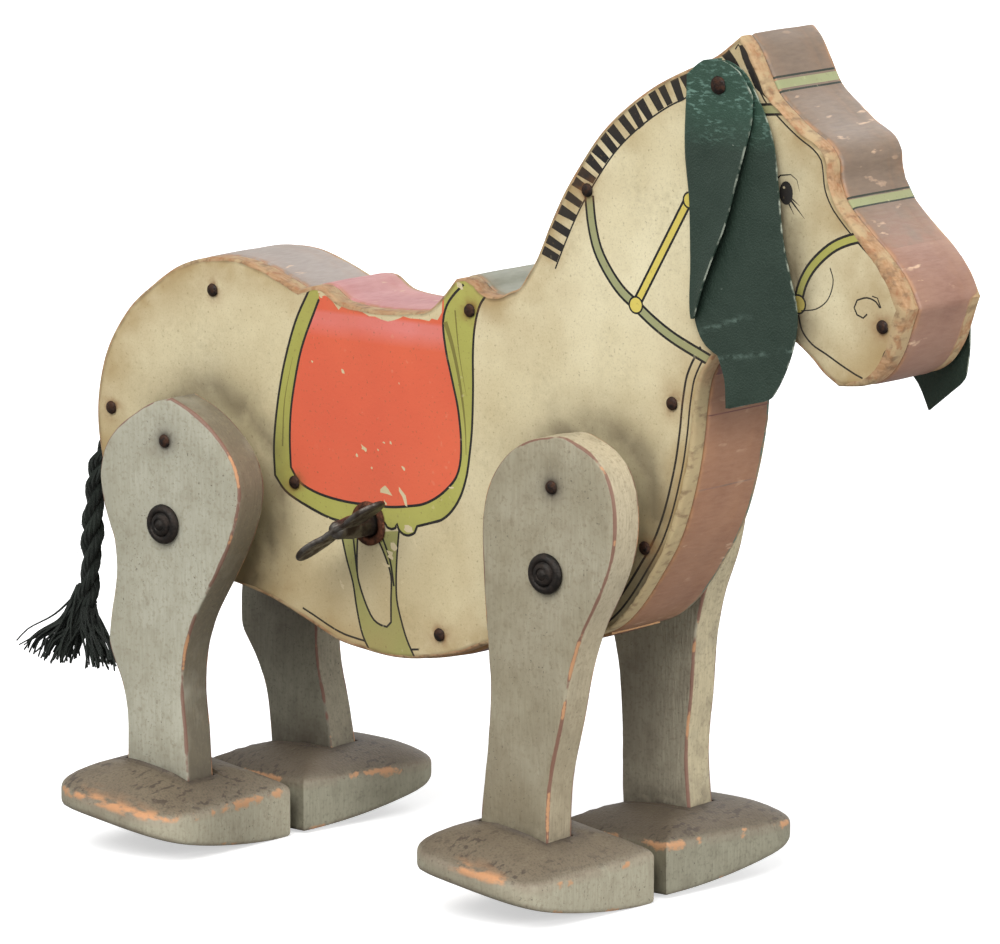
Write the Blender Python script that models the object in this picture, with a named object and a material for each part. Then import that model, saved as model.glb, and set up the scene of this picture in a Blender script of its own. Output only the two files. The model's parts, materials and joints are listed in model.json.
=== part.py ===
"""A wind-up walking mule of wood: two side boards on a core, clockwork inside, four legs on crank pins.

Sizes are in millimetres and become metres when a mesh is made. +X is the mule's front, +Y its left
side and +Z up. The origin is on the floor under the middle of the body. Places across the toy are
measured outward from its middle plane, and the right side is the -Y side.
"""
import math

import bmesh
import bpy
from mathutils import Matrix, Vector

MM = 0.001
RIGHT = -1
LEFT = 1

# Clearances
GAP = 0.3            # between pieces that are fixed together
RUN = 0.35           # round a piece that turns

# Stock, across the toy
CORE_WIDTH = 19.05   # 3/4 in
BOARD = 4.8          # 3/16 in, each side board
LEG_STOCK = 9.525    # 3/8 in
LEG_SPACE = 6.45     # from a side board to its leg
INNER = CORE_WIDTH / 2
OUTER = INNER + BOARD
LEG_IN = OUTER + LEG_SPACE
LEG_OUT = LEG_IN + LEG_STOCK

# Outline of the side boards, in (x, z), clockwise from under the rump
RUMP = [(-88.2, 64.9), (-97, 65.8), (-108, 70.3), (-116, 78.8), (-120.2, 90.5), (-121.5, 101.3), (-120, 111.6),
        (-117, 119.3), (-110.3, 128.5), (-103.8, 133.8), (-95.7, 139.2), (-87.7, 142), (-80.5, 142.9),
        (-72.8, 142.5), (-63.3, 139.7), (-56.8, 137.2)]
SEAT = [(-56.8, 137.2), (-52.4, 138.6), (-49.3, 138.6), (-44.6, 135.9), (-36.9, 134.8), (-29.2, 134.8),
        (-21.6, 135.3), (-17, 136.2), (-12.8, 139.7), (-8.6, 144.4), (-5.6, 145.1), (-2.8, 143.9), (-1.3, 142.4)]
WITHERS = [(-1.3, 142.4), (1.3, 141.4), (4.5, 141.5), (7.8, 143), (10.2, 143.9)]
NECK = [(10.2, 143.9), (15.4, 151.1), (18.9, 158.5), (23.3, 167), (28.6, 174.9), (34.4, 182.3), (41.5, 188.7),
        (50.3, 194.6), (58.8, 198.7), (67.3, 202.5), (74.3, 207.6)]
FACE = [(74.3, 207.6), (76.6, 205.2), (79.2, 200.7), (82.5, 194.8), (87.2, 190.7), (91.4, 187.6), (97, 184.2),
        (99.3, 181), (99.7, 176.4), (101.7, 171.9), (108.7, 164.9), (114.3, 160.1), (118.7, 154.9), (121.5, 149.4)]
MUZZLE = [(121.5, 149.4), (120.5, 146.7), (118.5, 140.8), (117, 137.7), (114, 133.7), (110, 131.3), (105.9, 130.6),
          (102.4, 130.3), (98, 133), (95.1, 135.7), (91, 138.7)]
THROAT = [(91, 138.7), (84.8, 141.9), (78.8, 142.9), (73.3, 140.9), (69.3, 136.9), (66.5, 132.4), (64.1, 128.5)]
CHEST = [(64.1, 128.5), (62.7, 122.5), (61.9, 115.5), (60.8, 108.4), (59.1, 101.2), (56.7, 93.4), (53.6, 86.5),
         (49.9, 80.7), (45.6, 74.5), (42.2, 70.4), (38.4, 67), (34.5, 64.9)]
BELLY = [(34.5, 64.9), (26.7, 62.4), (16.7, 60.7), (6.7, 59.4), (0, 58.2), (-7.3, 55.2), (-13.3, 53.7),
         (-20.7, 52.2), (-28.7, 51.7), (-36.7, 52.4), (-44.7, 53.6), (-53.3, 56.9), (-59.9, 59.3),
         (-65.4, 61.3), (-77, 63.8), (-88.2, 64.9)]
POINT_SPACING = 4.8  # along the smoothed outlines

# Core: how far the wood under the paper stands in from the boards' edge, and the hollow's walls
CORE_INSET = 0.5
BELLY_PROUD = 0.6
SEAT_RAIL_DEPTH = 12
RAIL_END_TOP = 69.8
RUMP_HOLLOW = [(-62, 113.8), (-80, 108.8), (-96, 104.8), (-101, 97.8), (-101, 74.8), (-96, 69.5)]
BELLY_HOLLOW = [(-75, 67.3), (-55, 62), (-15, 62), (20, 65.3)]
CHEST_HOLLOW = [(38.5, 72.8), (38.5, 98.8), (25, 113.8)]

# Round-headed nails through the side boards into the core: the outline and the number of its point,
# and how far the nail lies along the edge from there and in from it. The left board has the same
# nails, and LEFT_NAILS are the two of them that are made as solids
NAILS = {"croup": (RUMP, 11, 2.3, 8.0), "rump": (RUMP, 5, 1.5, 5.0), "withers": (SEAT, 11, 2.4, 6.1),
         "belly": (BELLY, 6, -1.2, 5.2), "breast": (CHEST, 1, 2.0, 6.8), "chest": (CHEST, 6, 2.2, 5.3),
         "neck": (NECK, 4, -3.6, 5.4), "nose": (MUZZLE, 2, -2.7, 5.0)}
LEFT_NAILS = ("croup", "breast")
EAR_NAILS = {RIGHT: (NECK, 9, -0.2, 6.9), LEFT: (NECK, 9, -0.7, 15.9)}
MOTOR_NAIL = (-58, 90.7)
NAIL_SHANK = 0.75
NAIL_HEAD = 1.5
NAIL_DOME = 0.7
NAIL_LENGTH = 11
MOTOR_NAIL_LENGTH = 6.3
NAIL_HOLE = NAIL_SHANK + GAP
NAIL_SIDES = 10

# Axles and cranks
FRONT_AXLE = (28.75, 80.7)
REAR_AXLE = (-88.45, 78.9)
AXLE = 1.5
THROW = 3.0
PIN_ANGLE = 15       # degrees above straight ahead, of the right pins; the left pins stand opposite
PIN = 1.3
CRANK_DISC = 5.4
CRANK_THICKNESS = 1.8
CRANK_SPACE = 2.1    # from a side board to the crank
SHOULDER = 2.7
CRANK_BORE_DEPTH = 1.0

# Bends of the axles that carry the coupling rod
ROD_THROW = 5.0
ROD_PIN = 1.1
ROD_WIDTH = 3.4
ROD_THICKNESS = 1.2
ROD_Y = 5.95
WEB = 1.9
WEB_THICKNESS = 0.85

# Push nuts on the leg pins
NUT = 4.7
NUT_HEIGHT = 2.7
NUT_WALL = 0.6

# Legs of the right side, as (x ahead of the axle, z); the left legs are swung forward about their pins
FRONT_LEG_BACK = [(7.25, 113.8), (-2.25, 112.1), (-9.25, 107.9), (-14.55, 100.4), (-16.35, 92.3),
                  (-15.95, 74.8), (-14.75, 60.8), (-14.15, 52.8), (-15.05, 37.8), (-16.85, 22.8), (-17.15, 15.8)]
FRONT_LEG_FRONT = [(2.85, 15.8), (3.75, 31.8), (7.05, 46.1), (10.05, 59.7), (13.75, 69.6), (18.35, 78.1), (21.95, 88),
                   (22.55, 97.8), (20.05, 106.2), (14.75, 111.2), (7.25, 113.8)]
REAR_LEG_BACK = [(4.95, 110.5), (-1.55, 108.6), (-6.75, 105.6), (-11.95, 101.9), (-16.15, 96.8), (-17.95, 90.5),
                 (-16.75, 81.8), (-13.75, 74), (-12.95, 67.3), (-14.05, 59.7), (-15.55, 48.3), (-12.35, 40.9),
                 (-10.05, 32.8), (-10.05, 15.8)]
REAR_LEG_FRONT = [(9.75, 15.8), (9.05, 27.4), (7.95, 39.8), (9.05, 49.5), (12.25, 58), (18.15, 67.7),
                  (23.85, 78.6), (26.45, 89.3), (24.25, 97.1), (18.45, 103.5), (11.95, 107.8), (4.95, 110.5)]
LEFT_SWING = 7.5     # degrees
FRONT_GUIDE = (4.25, 101.8)
REAR_GUIDE = (3.15, 99.9)
GUIDE_TIP = 10.6
WINDOW_SLACK = 0.4
WINDOW_HEIGHT = 1.0

# Feet: half their length along the toy, and places outward from the middle plane. Heights stand on the
# sole's own flat. Each foot was set on its leg by eye: how far ahead of the ankle and out from its
# place, and how it slants (toe up) and turns (outer end back), in degrees
FOOT_HALF_LENGTH = 18.9
FOOT_INNER = 2.2
FOOT_STRAIGHT = 33.7
FOOT_OUTER = 50.3
FOOT_ROUNDING = 3.3
FOOT_CROWN = 17.4
FOOT_RIM_INNER = 12.3
FOOT_RIM_OUTER = 11.2
FOOT_DOME = 2.9
SOLE_RADIUS = 170
SOLE_WEAR = 0.5
FOOT_RINGS = (0.35, 0.65, 0.87, 1.0)
SOLE_RINGS = (1.0, 0.7, 0.35)
STANCE = {("front", RIGHT): (0.6, 0, -8, -2), ("front", LEFT): (1.9, 1.5, 2, -8),
          ("rear", RIGHT): (-0.7, 0, -8, 0), ("rear", LEFT): (1.5, 1.5, 1.5, -9)}

# Ears of oilcloth, in (x, z) from their nails; the left one is swung forward
EAR = [(-4.6, 4.9), (-8.9, 1.6), (-9.2, -15.6), (-8.1, -26.9), (-7.5, -40.7), (-7.4, -54.5), (-4.5, -59.9),
       (-0.8, -62.1), (1.2, -67.4), (1.6, -74.1), (8.1, -71.8), (14.6, -70.2), (18.5, -63.8), (21.5, -55.1),
       (21.7, -49.3), (19.7, -41.6), (17.7, -33.8), (16.2, -22.6), (14.4, -11.4), (10.1, -2.2), (5.9, 3.7), (1, 5.7)]
LEFT_EAR_SWING = 24  # degrees
EAR_STANDOFF = 1.2
EAR_NAIL_GRIP = 6    # how deep the nail stands in the core
EAR_THICKNESS = 1.6

# Tail: a rope out of a hole in the rump, and the brush that it frays into
TAIL_ROPE = 2.8
TAIL_ROUTE = [(-119.4, 95.8), (-123.5, 95.4), (-128, 92.8), (-131.8, 87.8), (-134.2, 81.8),
              (-135.4, 74.8), (-136.1, 67.8), (-136.6, 60.8), (-137.4, 54.8), (-138.5, 49.3)]
TAIL_HOLE_DEPTH = 2.6
BRUSH_TOP = 3.3
BRUSH_BOTTOM = (-142.5, 32.8)
BRUSH_HALF_LENGTH = 11.5
BRUSH_HALF_WIDTH = 6.5
BRUSH_GAP = 1.0      # from the rope's end down to the brush
BRUSH_SPREAD = 1.3
BRUSH_RINGS = (0.0, 0.25, 0.55, 1.0)
BRUSH_SIDES = 14

# Motor, between its plates; y of the faces runs from the right board to the left
PLATE = 0.8
RIGHT_PLATE = -(INNER - GAP)
LEFT_PLATE = 3.6
PLATE_REAR = 9.05    # from the rear axle
PLATE_FRONT = 27     # from the winding arbor
PLATE_TOP = 19.5     # over the winding arbor
PLATE_BOTTOM = 17.5  # under it
PLATE_STEP = 8.5     # under the rear axle
PLATE_CORNER = 4
PILLAR_INSET = 4.5
PILLAR = 1.5
RIVET = 0.2          # how far rivets and pivots stand out of the left plate
PIVOT = 0.8
MODULE = 1.0
WINDING = (-35, 83.3)
WINDING_ARBOR = 1.9
WINDING_PIVOT = 1.2
GREAT_TEETH = 40
SECOND_PINION_TEETH = 10
SECOND_TEETH = 32
THIRD_PINION_TEETH = 8
THIRD_TEETH = 20
DRIVE_TEETH = 10
SECOND_ANGLE = 180
WHEEL_HUB = 0.5      # an arbor's thickness over its pivots
GREAT_WHEEL_Y = (-6.75, -5.35)
SECOND_PINION_Y = (-7.6, -4.6)
SECOND_WHEEL_Y = (2.1, 3.2)
THIRD_PINION_Y = (1.7, 3.25)
THIRD_WHEEL_Y = (-3.0, -1.8)
DRIVE_PINION_Y = (-3.5, -1.3)
RATCHET_Y = (-8.1, -7.1)
RATCHET = 6.0
RATCHET_ROOT = 4.8
RATCHET_TEETH = 12
CLICK_PIVOT = 10.5
CLICK_ANGLE = 60     # degrees, of its pivot on the great wheel
CLICK_NOSE_ANGLE = 30
CLICK_BOSS = 1.4
CLICK_NOSE = 0.35
CLICK_PIN = 0.6
SPRING_Y = (-4.6, 1.4)
SPRING_STRIP = 0.45
SPRING_IN = 2.65
SPRING_OUT = 16.5
SPRING_TURNS = 6
SPRING_STEPS = 12    # points a turn
SPRING_TAIL = 70     # degrees, over which the outer end leaves the coil

# Key and the eyelet round its hole
EYELET_BORE = 3.3
EYELET_TUBE = 4.0
EYELET_FLANGE = 5.3
EYELET_FLANGE_THICKNESS = 0.6
KEY_BARREL = 2.9
KEY_BARREL_IN = 13.2
KEY_OUT = 10.8       # from the side board to the middle of the wings
KEY_SPAN = 30
KEY_LOBE_LENGTH = 6.4
KEY_LOBE_HEIGHT = 4.5
KEY_WAIST = 3.0
KEY_NECK = 2.2       # half the wings' narrow middle
KEY_SHEET = 1.3
KEY_ANGLE = 30       # degrees
ARBOR_END = 22.2
FUSE = 0.3           # how far two shapes of one piece run into each other

FINISHES = {
    "paper_cream": ((0.62, 0.54, 0.33), 0.45, 0.0),
    "paper_mauve": ((0.33, 0.27, 0.27), 0.5, 0.0),
    "paper_pink": ((0.58, 0.22, 0.25), 0.5, 0.0),
    "paper_red": ((0.16, 0.05, 0.04), 0.6, 0.0),
    "paint_grey_green": ((0.39, 0.39, 0.29), 0.6, 0.0),
    "oilcloth": ((0.03, 0.065, 0.05), 0.45, 0.0),
    "rope": ((0.02, 0.027, 0.02), 0.9, 0.0),
    "dark_steel": ((0.06, 0.05, 0.045), 0.45, 1.0),
    "steel": ((0.35, 0.34, 0.32), 0.4, 1.0),
    "spring_steel": ((0.16, 0.17, 0.2), 0.3, 1.0),
    "brass": ((0.6, 0.42, 0.16), 0.4, 1.0),
    "copper": ((0.3, 0.13, 0.07), 0.45, 1.0),
}


def clear_scene():
    for item in list(bpy.data.objects):
        bpy.data.objects.remove(item, do_unlink=True)


# Points


def turned(point, centre, degrees):
    """The (x, z) point swung about centre, forward for what hangs below it."""
    angle = math.radians(degrees)
    dx = point[0] - centre[0]
    dz = point[1] - centre[1]
    return (centre[0] + dx * math.cos(angle) - dz * math.sin(angle),
            centre[1] + dx * math.sin(angle) + dz * math.cos(angle))


def on_circle(centre, radius, degrees):
    angle = math.radians(degrees)
    return (centre[0] + radius * math.cos(angle), centre[1] + radius * math.sin(angle))


def circle(centre, radius, sides=16):
    return [on_circle(centre, radius, 360 * i / sides) for i in range(sides)]


def capsule(start, end, radius, sides=8):
    """A long hole or link with round ends about start and end."""
    heading = math.degrees(math.atan2(end[1] - start[1], end[0] - start[0]))
    points = [on_circle(end, radius, heading - 90 + 180 * i / sides) for i in range(sides + 1)]
    points += [on_circle(start, radius, heading + 90 + 180 * i / sides) for i in range(sides + 1)]
    return points


def smooth(points, spacing=POINT_SPACING):
    """A centripetal curve through the points, with a point about every spacing."""
    ends = [Vector(p) for p in points]
    padded = [2 * ends[0] - ends[1]] + ends + [2 * ends[-1] - ends[-2]]
    line = [tuple(ends[0])]
    for i in range(1, len(padded) - 2):
        before, start, end, after = padded[i - 1:i + 3]
        knots = [0.0]
        for a, b in ((before, start), (start, end), (end, after)):
            knots.append(knots[-1] + math.sqrt((b - a).length))
        count = max(1, round((end - start).length / spacing))
        for step in range(1, count + 1):
            t = knots[1] + (knots[2] - knots[1]) * step / count
            a1 = before.lerp(start, (t - knots[0]) / (knots[1] - knots[0]))
            a2 = start.lerp(end, (t - knots[1]) / (knots[2] - knots[1]))
            a3 = end.lerp(after, (t - knots[2]) / (knots[3] - knots[2]))
            b1 = a1.lerp(a2, (t - knots[0]) / (knots[2] - knots[0]))
            b2 = a2.lerp(a3, (t - knots[1]) / (knots[3] - knots[1]))
            line.append(tuple(b1.lerp(b2, (t - knots[1]) / (knots[2] - knots[1]))))
    return line


def run_together(*parts):
    """Curves that follow each other, smoothed one by one, as one open curve without doubled points."""
    points = []
    for part in parts:
        for point in smooth(part):
            if not points or math.dist(point, points[-1]) > 0.05:
                points.append(point)
    return points


def joined(*curves):
    """Runs of points that follow each other, as one closed outline without doubled points."""
    points = []
    for curve in curves:
        for point in curve:
            if not points or math.dist(point, points[-1]) > 0.05:
                points.append(point)
    if math.dist(points[0], points[-1]) <= 0.05:
        points.pop()
    return points


def inset(points, distance, closed=False):
    """A clockwise curve moved into the shape that it bounds."""
    moved = []
    count = len(points)
    for i, point in enumerate(points):
        before = points[i - 1] if closed or i > 0 else point
        after = points[(i + 1) % count] if closed or i < count - 1 else point
        run = Vector(after) - Vector(before)
        run.normalize()
        moved.append((point[0] + run.y * distance, point[1] - run.x * distance))
    return moved


def stretch_of(points, low, high):
    """The part of a curve between two x values, in the curve's own order."""
    kept = []
    for a, b in zip(points, points[1:]):
        if low <= a[0] <= high:
            kept.append(a)
        for limit in (low, high):
            if (a[0] - limit) * (b[0] - limit) < 0:
                share = (limit - a[0]) / (b[0] - a[0])
                kept.append((limit, a[1] + share * (b[1] - a[1])))
    if low <= points[-1][0] <= high:
        kept.append(points[-1])
    return kept


def meeting_point(first, first_reach, second, second_reach):
    """The upper point at the given distances from two points."""
    across = Vector(second) - Vector(first)
    span = across.length
    along = (first_reach ** 2 - second_reach ** 2 + span ** 2) / (2 * span)
    height = math.sqrt(first_reach ** 2 - along ** 2)
    base = Vector(first) + across * along / span
    normal = Vector((-across.y, across.x)) / span
    if normal.y < 0:
        normal.negate()
    return tuple(base + normal * height)


def gear(centre, teeth, phase=0.0, module=MODULE):
    """Straight-flanked teeth, cut shallow and thin so that a pair runs with play."""
    pitch = teeth * module / 2
    tooth = 360 / teeth
    points = []
    for i in range(teeth):
        middle = phase + i * tooth
        for radius, share in ((pitch - 1.15 * module, -0.27), (pitch + 0.75 * module, -0.09),
                              (pitch + 0.75 * module, 0.09), (pitch - 1.15 * module, 0.27)):
            points.append(on_circle(centre, radius, middle + share * tooth))
    return points


# Solids


def principled(name, finish):
    colour, roughness, metallic = FINISHES[finish]
    material = bpy.data.materials.new(name)
    material.use_nodes = True
    shader = material.node_tree.nodes["Principled BSDF"]
    shader.inputs["Base Color"].default_value = (*colour, 1.0)
    shader.inputs["Roughness"].default_value = roughness
    shader.inputs["Metallic"].default_value = metallic
    return material


def prism(bm, outline, low, high, holes=()):
    """An (x, z) outline with holes, between two y values, given outward or inward."""
    bottom, top = sorted((low, high))
    edges = []
    for loop in (outline, *holes):
        ring = [bm.verts.new((x * MM, bottom * MM, z * MM)) for x, z in loop]
        edges += [bm.edges.new((ring[i - 1], ring[i])) for i in range(len(ring))]
    filled = bmesh.ops.triangle_fill(bm, use_beauty=True, edges=edges, normal=(0, -1, 0))
    faces = [item for item in filled["geom"] if isinstance(item, bmesh.types.BMFace)]
    raised = bmesh.ops.extrude_face_region(bm, geom=faces, use_keep_orig=True)
    verts = [item for item in raised["geom"] if isinstance(item, bmesh.types.BMVert)]
    bmesh.ops.translate(bm, verts=verts, vec=(0, (top - bottom) * MM, 0))


def lathe(bm, centre, profile, side=LEFT, sides=16, ring=False):
    """A solid turned about a line along y. The profile holds (radius, outward place) points."""
    rows = []
    for radius, out in profile:
        y = out * side * MM
        if radius == 0:
            rows.append([bm.verts.new((centre[0] * MM, y, centre[1] * MM))])
        else:
            rows.append([bm.verts.new((x * MM, y, z * MM)) for x, z in circle(centre, radius, sides)])
    pairs = list(zip(rows, rows[1:]))
    if ring:
        pairs.append((rows[-1], rows[0]))
    for a, b in pairs:
        for i in range(sides):
            j = (i + 1) % sides
            corners = [a[0]] if len(a) == 1 else [a[i], a[j]]
            corners += [b[0]] if len(b) == 1 else [b[j], b[i]]
            if len(corners) > 2:
                bm.faces.new(corners)


def place(name, finish, build, hidden=False):
    """One named object. build fills the mesh that it gets."""
    bm = bmesh.new()
    build(bm)
    bmesh.ops.recalc_face_normals(bm, faces=bm.faces)
    mesh = bpy.data.meshes.new(name)
    bm.to_mesh(mesh)
    bm.free()
    mesh.shade_smooth()
    mesh.set_sharp_from_angle(angle=math.radians(35))
    item = bpy.data.objects.new(name, mesh)
    bpy.context.scene.collection.objects.link(item)
    if not hidden:
        mesh.materials.append(principled(name, finish))
    return item


def combined(item, operation, build):
    """Adds a shape to a solid, or cuts it out, and keeps the result as the solid's mesh."""
    tool = place(item.name + "_tool", None, build, hidden=True)
    modifier = item.modifiers.new("shape", "BOOLEAN")
    modifier.operation = operation
    modifier.solver = "EXACT"
    modifier.object = tool
    bpy.context.view_layer.update()
    shaped = bpy.data.meshes.new_from_object(item.evaluated_get(bpy.context.evaluated_depsgraph_get()))
    item.modifiers.clear()
    item.data = shaped
    shaped.name = item.name
    bpy.data.objects.remove(tool, do_unlink=True)


def set_origin(item, x, y, z):
    """Moves the object's origin to a joint and leaves its solid where it is."""
    offset = Vector((x * MM, y * MM, z * MM))
    for vertex in item.data.vertices:
        vertex.co -= offset
    item.location = offset


def side_name(side):
    return "right" if side == RIGHT else "left"


# The body: boards, core and nails


def body_outline():
    parts = (RUMP, SEAT, WITHERS, NECK, FACE, MUZZLE, THROAT, CHEST, BELLY)
    return joined(*[smooth(part) for part in parts])


def nail_spot(outline, number, along, depth):
    """A place along the edge from one of an outline's points, and in from it."""
    run = Vector(outline[number + 1]) - Vector(outline[number - 1])
    run.normalize()
    x, z = outline[number]
    return (x + run.x * along + run.y * depth, z + run.y * along - run.x * depth)


def body_nails():
    return {name: nail_spot(*place) for name, place in NAILS.items()}


def ear_nail(side):
    return nail_spot(*EAR_NAILS[side])


def pin_centre(axle, side):
    angle = PIN_ANGLE if side == RIGHT else PIN_ANGLE + 180
    return on_circle(axle, THROW, angle)


def leg_point(axle, point, side):
    """Where a point of a leg's pattern stands at rest, on the leg of the given side."""
    x, z = axle[0] + point[0], point[1]
    if side == RIGHT:
        return (x, z)
    right_pin = pin_centre(axle, RIGHT)
    left_pin = pin_centre(axle, LEFT)
    x, z = turned((x, z), right_pin, LEFT_SWING)
    return (x + left_pin[0] - right_pin[0], z + left_pin[1] - right_pin[1])


def window(axle, guide, side):
    """The hole that lets a guide nail travel with its crank."""
    nail = leg_point(axle, guide, side)
    pin = pin_centre(axle, side)
    centre = (nail[0] - pin[0] + axle[0], nail[1] - pin[1] + axle[1])
    reach = THROW + NAIL_SHANK + WINDOW_SLACK
    return capsule((centre[0], centre[1] - WINDOW_HEIGHT), (centre[0], centre[1] + WINDOW_HEIGHT), reach)


def nail_hole(spot):
    return circle(spot, NAIL_HOLE, NAIL_SIDES)


def make_side_board(side):
    holes = [nail_hole(spot) for spot in body_nails().values()] + [nail_hole(ear_nail(side))]
    for axle, guide in ((FRONT_AXLE, FRONT_GUIDE), (REAR_AXLE, REAR_GUIDE)):
        holes.append(circle(axle, AXLE + RUN))
        holes.append(window(axle, guide, side))
    if side == RIGHT:
        holes.append(circle(WINDING, EYELET_TUBE + GAP))
        holes.append(nail_hole(MOTOR_NAIL))
    outline = body_outline()
    place(side_name(side) + "_side_board", "paper_cream",
          lambda bm: prism(bm, outline, side * INNER, side * OUTER, holes))


def core_block(name, finish, outline, nails):
    half = INNER - GAP
    holes = [nail_hole(spot) for spot in nails]
    return place(name, finish, lambda bm: prism(bm, outline, -half, half, holes))


def make_core():
    """Four blocks that meet end to end: rump, seat rail, belly rail, and head with neck and chest."""
    nails = body_nails()
    rump_end = RUMP[-1][0]
    withers_end = WITHERS[-1][0]
    belly_front = BELLY[0][0]
    belly_back = BELLY[-1][0]
    seat_bottom = min(z for x, z in SEAT) - SEAT_RAIL_DEPTH

    rump = inset(smooth(RUMP), CORE_INSET)
    walls = [(rump_end, seat_bottom)] + RUMP_HOLLOW + [(belly_back, RAIL_END_TOP - GAP)]
    block = core_block("rump_block", "paper_mauve", joined(rump, walls), [nails["croup"], nails["rump"]])

    def tail_hole(bm):
        start = TAIL_ROUTE[0]
        bmesh.ops.create_cone(bm, cap_ends=True, segments=16, radius1=(TAIL_ROPE + GAP) * MM,
                              radius2=(TAIL_ROPE + GAP) * MM, depth=2 * (TAIL_HOLE_DEPTH + GAP) * MM)
        bmesh.ops.rotate(bm, verts=bm.verts, cent=(0, 0, 0), matrix=Matrix.Rotation(math.radians(90), 3, "Y"))
        bmesh.ops.translate(bm, verts=bm.verts, vec=((start[0] - TAIL_HOLE_DEPTH) * MM, 0, start[1] * MM))

    combined(block, "DIFFERENCE", tail_hole)

    top = stretch_of(inset(run_together(SEAT, WITHERS), CORE_INSET), rump_end + GAP, withers_end - GAP)
    underside = [(withers_end - GAP, seat_bottom), (rump_end + GAP, seat_bottom)]
    core_block("seat_rail", "paper_pink", joined(top, underside), [nails["withers"]])

    bottom = stretch_of(inset(smooth(BELLY), -BELLY_PROUD), belly_back + GAP, belly_front - GAP)
    upper = [(belly_back + GAP, RAIL_END_TOP - GAP)] + BELLY_HOLLOW + [(belly_front - GAP, RAIL_END_TOP)]
    core_block("belly_rail", "paper_red", joined(bottom, upper), [nails["belly"]])

    front = inset(run_together(NECK, FACE, MUZZLE, THROAT, CHEST), CORE_INSET)
    walls = [(belly_front, RAIL_END_TOP)] + CHEST_HOLLOW + [(withers_end, seat_bottom)]
    holes = [nails[name] for name in ("breast", "chest", "neck", "nose")] + [ear_nail(RIGHT), ear_nail(LEFT)]
    core_block("head_neck_block", "paper_mauve", joined(front, walls), holes)


def nail_profile(seat, length):
    """A round-headed nail whose head rests at seat and whose point is length further in."""
    dome = [(NAIL_HEAD * math.cos(math.radians(a)), seat + NAIL_DOME * math.sin(math.radians(a))) for a in (0, 30, 60)]
    return [(0, seat - length), (NAIL_SHANK, seat - length), (NAIL_SHANK, seat)] + dome + [(0, seat + NAIL_DOME)]


def make_nails():
    seat = OUTER + GAP
    for name, spot in body_nails().items():
        for side in (RIGHT, LEFT) if name in LEFT_NAILS else (RIGHT,):
            place(side_name(side) + "_" + name + "_nail", "dark_steel",
                  lambda bm, s=side, at=spot: lathe(bm, at, nail_profile(seat, NAIL_LENGTH), s, NAIL_SIDES))
    place("motor_nail", "dark_steel",
          lambda bm: lathe(bm, MOTOR_NAIL, nail_profile(seat, MOTOR_NAIL_LENGTH), RIGHT, NAIL_SIDES))


# Axles, cranks and push nuts


def crank_inner_face():
    return OUTER + CRANK_SPACE


def rod_profile(radius, low, high):
    """A plain round rod between two places along its axis."""
    return [(0, low), (radius, low), (radius, high), (0, high)]


def make_axle(name, axle):
    """A shaft with one bend in it, which carries the coupling rod."""
    end = crank_inner_face() + CRANK_BORE_DEPTH - GAP
    pin = on_circle(axle, ROD_THROW, 90)
    first_web = ROD_Y - GAP - WEB_THICKNESS
    second_web = ROD_Y + ROD_THICKNESS + GAP

    item = place(name, "steel", lambda bm: lathe(bm, axle, rod_profile(AXLE, -end, first_web + FUSE)))

    def bend(bm):
        prism(bm, capsule(axle, pin, WEB), first_web, first_web + WEB_THICKNESS)

    def rod_pin(bm):
        lathe(bm, pin, rod_profile(ROD_PIN, first_web + FUSE, second_web + FUSE))

    def second_bend(bm):
        prism(bm, capsule(axle, pin, WEB), second_web, second_web + WEB_THICKNESS)

    def far_end(bm):
        lathe(bm, axle, rod_profile(AXLE, second_web + FUSE, end))

    for shape in (bend, rod_pin, second_bend, far_end):
        combined(item, "UNION", shape)
    set_origin(item, axle[0], 0, axle[1])


def make_crank(name, axle, side):
    pin = pin_centre(axle, side)
    face = crank_inner_face()
    disc_top = face + CRANK_THICKNESS
    shoulder_top = LEG_IN - RUN
    tip = LEG_OUT + NUT_HEIGHT - NUT_WALL
    pin_profile = [(0, disc_top - FUSE), (SHOULDER, disc_top - FUSE), (SHOULDER, shoulder_top), (PIN, shoulder_top),
                   (PIN, tip), (0, tip)]
    bore = rod_profile(AXLE + GAP, face - CRANK_BORE_DEPTH, face + CRANK_BORE_DEPTH)

    item = place(name, "steel", lambda bm: lathe(bm, axle, rod_profile(CRANK_DISC, face, disc_top), side, 18))
    combined(item, "UNION", lambda bm: lathe(bm, pin, pin_profile, side))
    combined(item, "DIFFERENCE", lambda bm: lathe(bm, axle, bore, side))
    set_origin(item, axle[0], 0, axle[1])


def make_push_nut(name, axle, side):
    pin = pin_centre(axle, side)
    seat = LEG_OUT + GAP
    top = seat + NUT_HEIGHT
    bore = PIN + GAP
    dome = [(NUT * math.cos(math.radians(a)), seat + NUT_WALL + (NUT_HEIGHT - NUT_WALL) * math.sin(math.radians(a)))
            for a in (0, 30, 60)]
    profile = [(0, top)] + dome[::-1] + [(NUT, seat), (bore, seat), (bore, top - NUT_WALL), (0, top - NUT_WALL)]
    item = place(name, "dark_steel", lambda bm: lathe(bm, pin, profile, side))
    set_origin(item, axle[0], 0, axle[1])


def make_coupling_rod():
    rear = on_circle(REAR_AXLE, ROD_THROW, 90)
    front = on_circle(FRONT_AXLE, ROD_THROW, 90)
    holes = [circle(end, ROD_PIN + RUN) for end in (rear, front)]
    item = place("coupling_rod", "steel",
                 lambda bm: prism(bm, capsule(rear, front, ROD_WIDTH), ROD_Y, ROD_Y + ROD_THICKNESS, holes))
    set_origin(item, rear[0], 0, rear[1])


# The motor


def second_centre():
    return on_circle(WINDING, MODULE * (GREAT_TEETH + SECOND_PINION_TEETH) / 2, SECOND_ANGLE)


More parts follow.
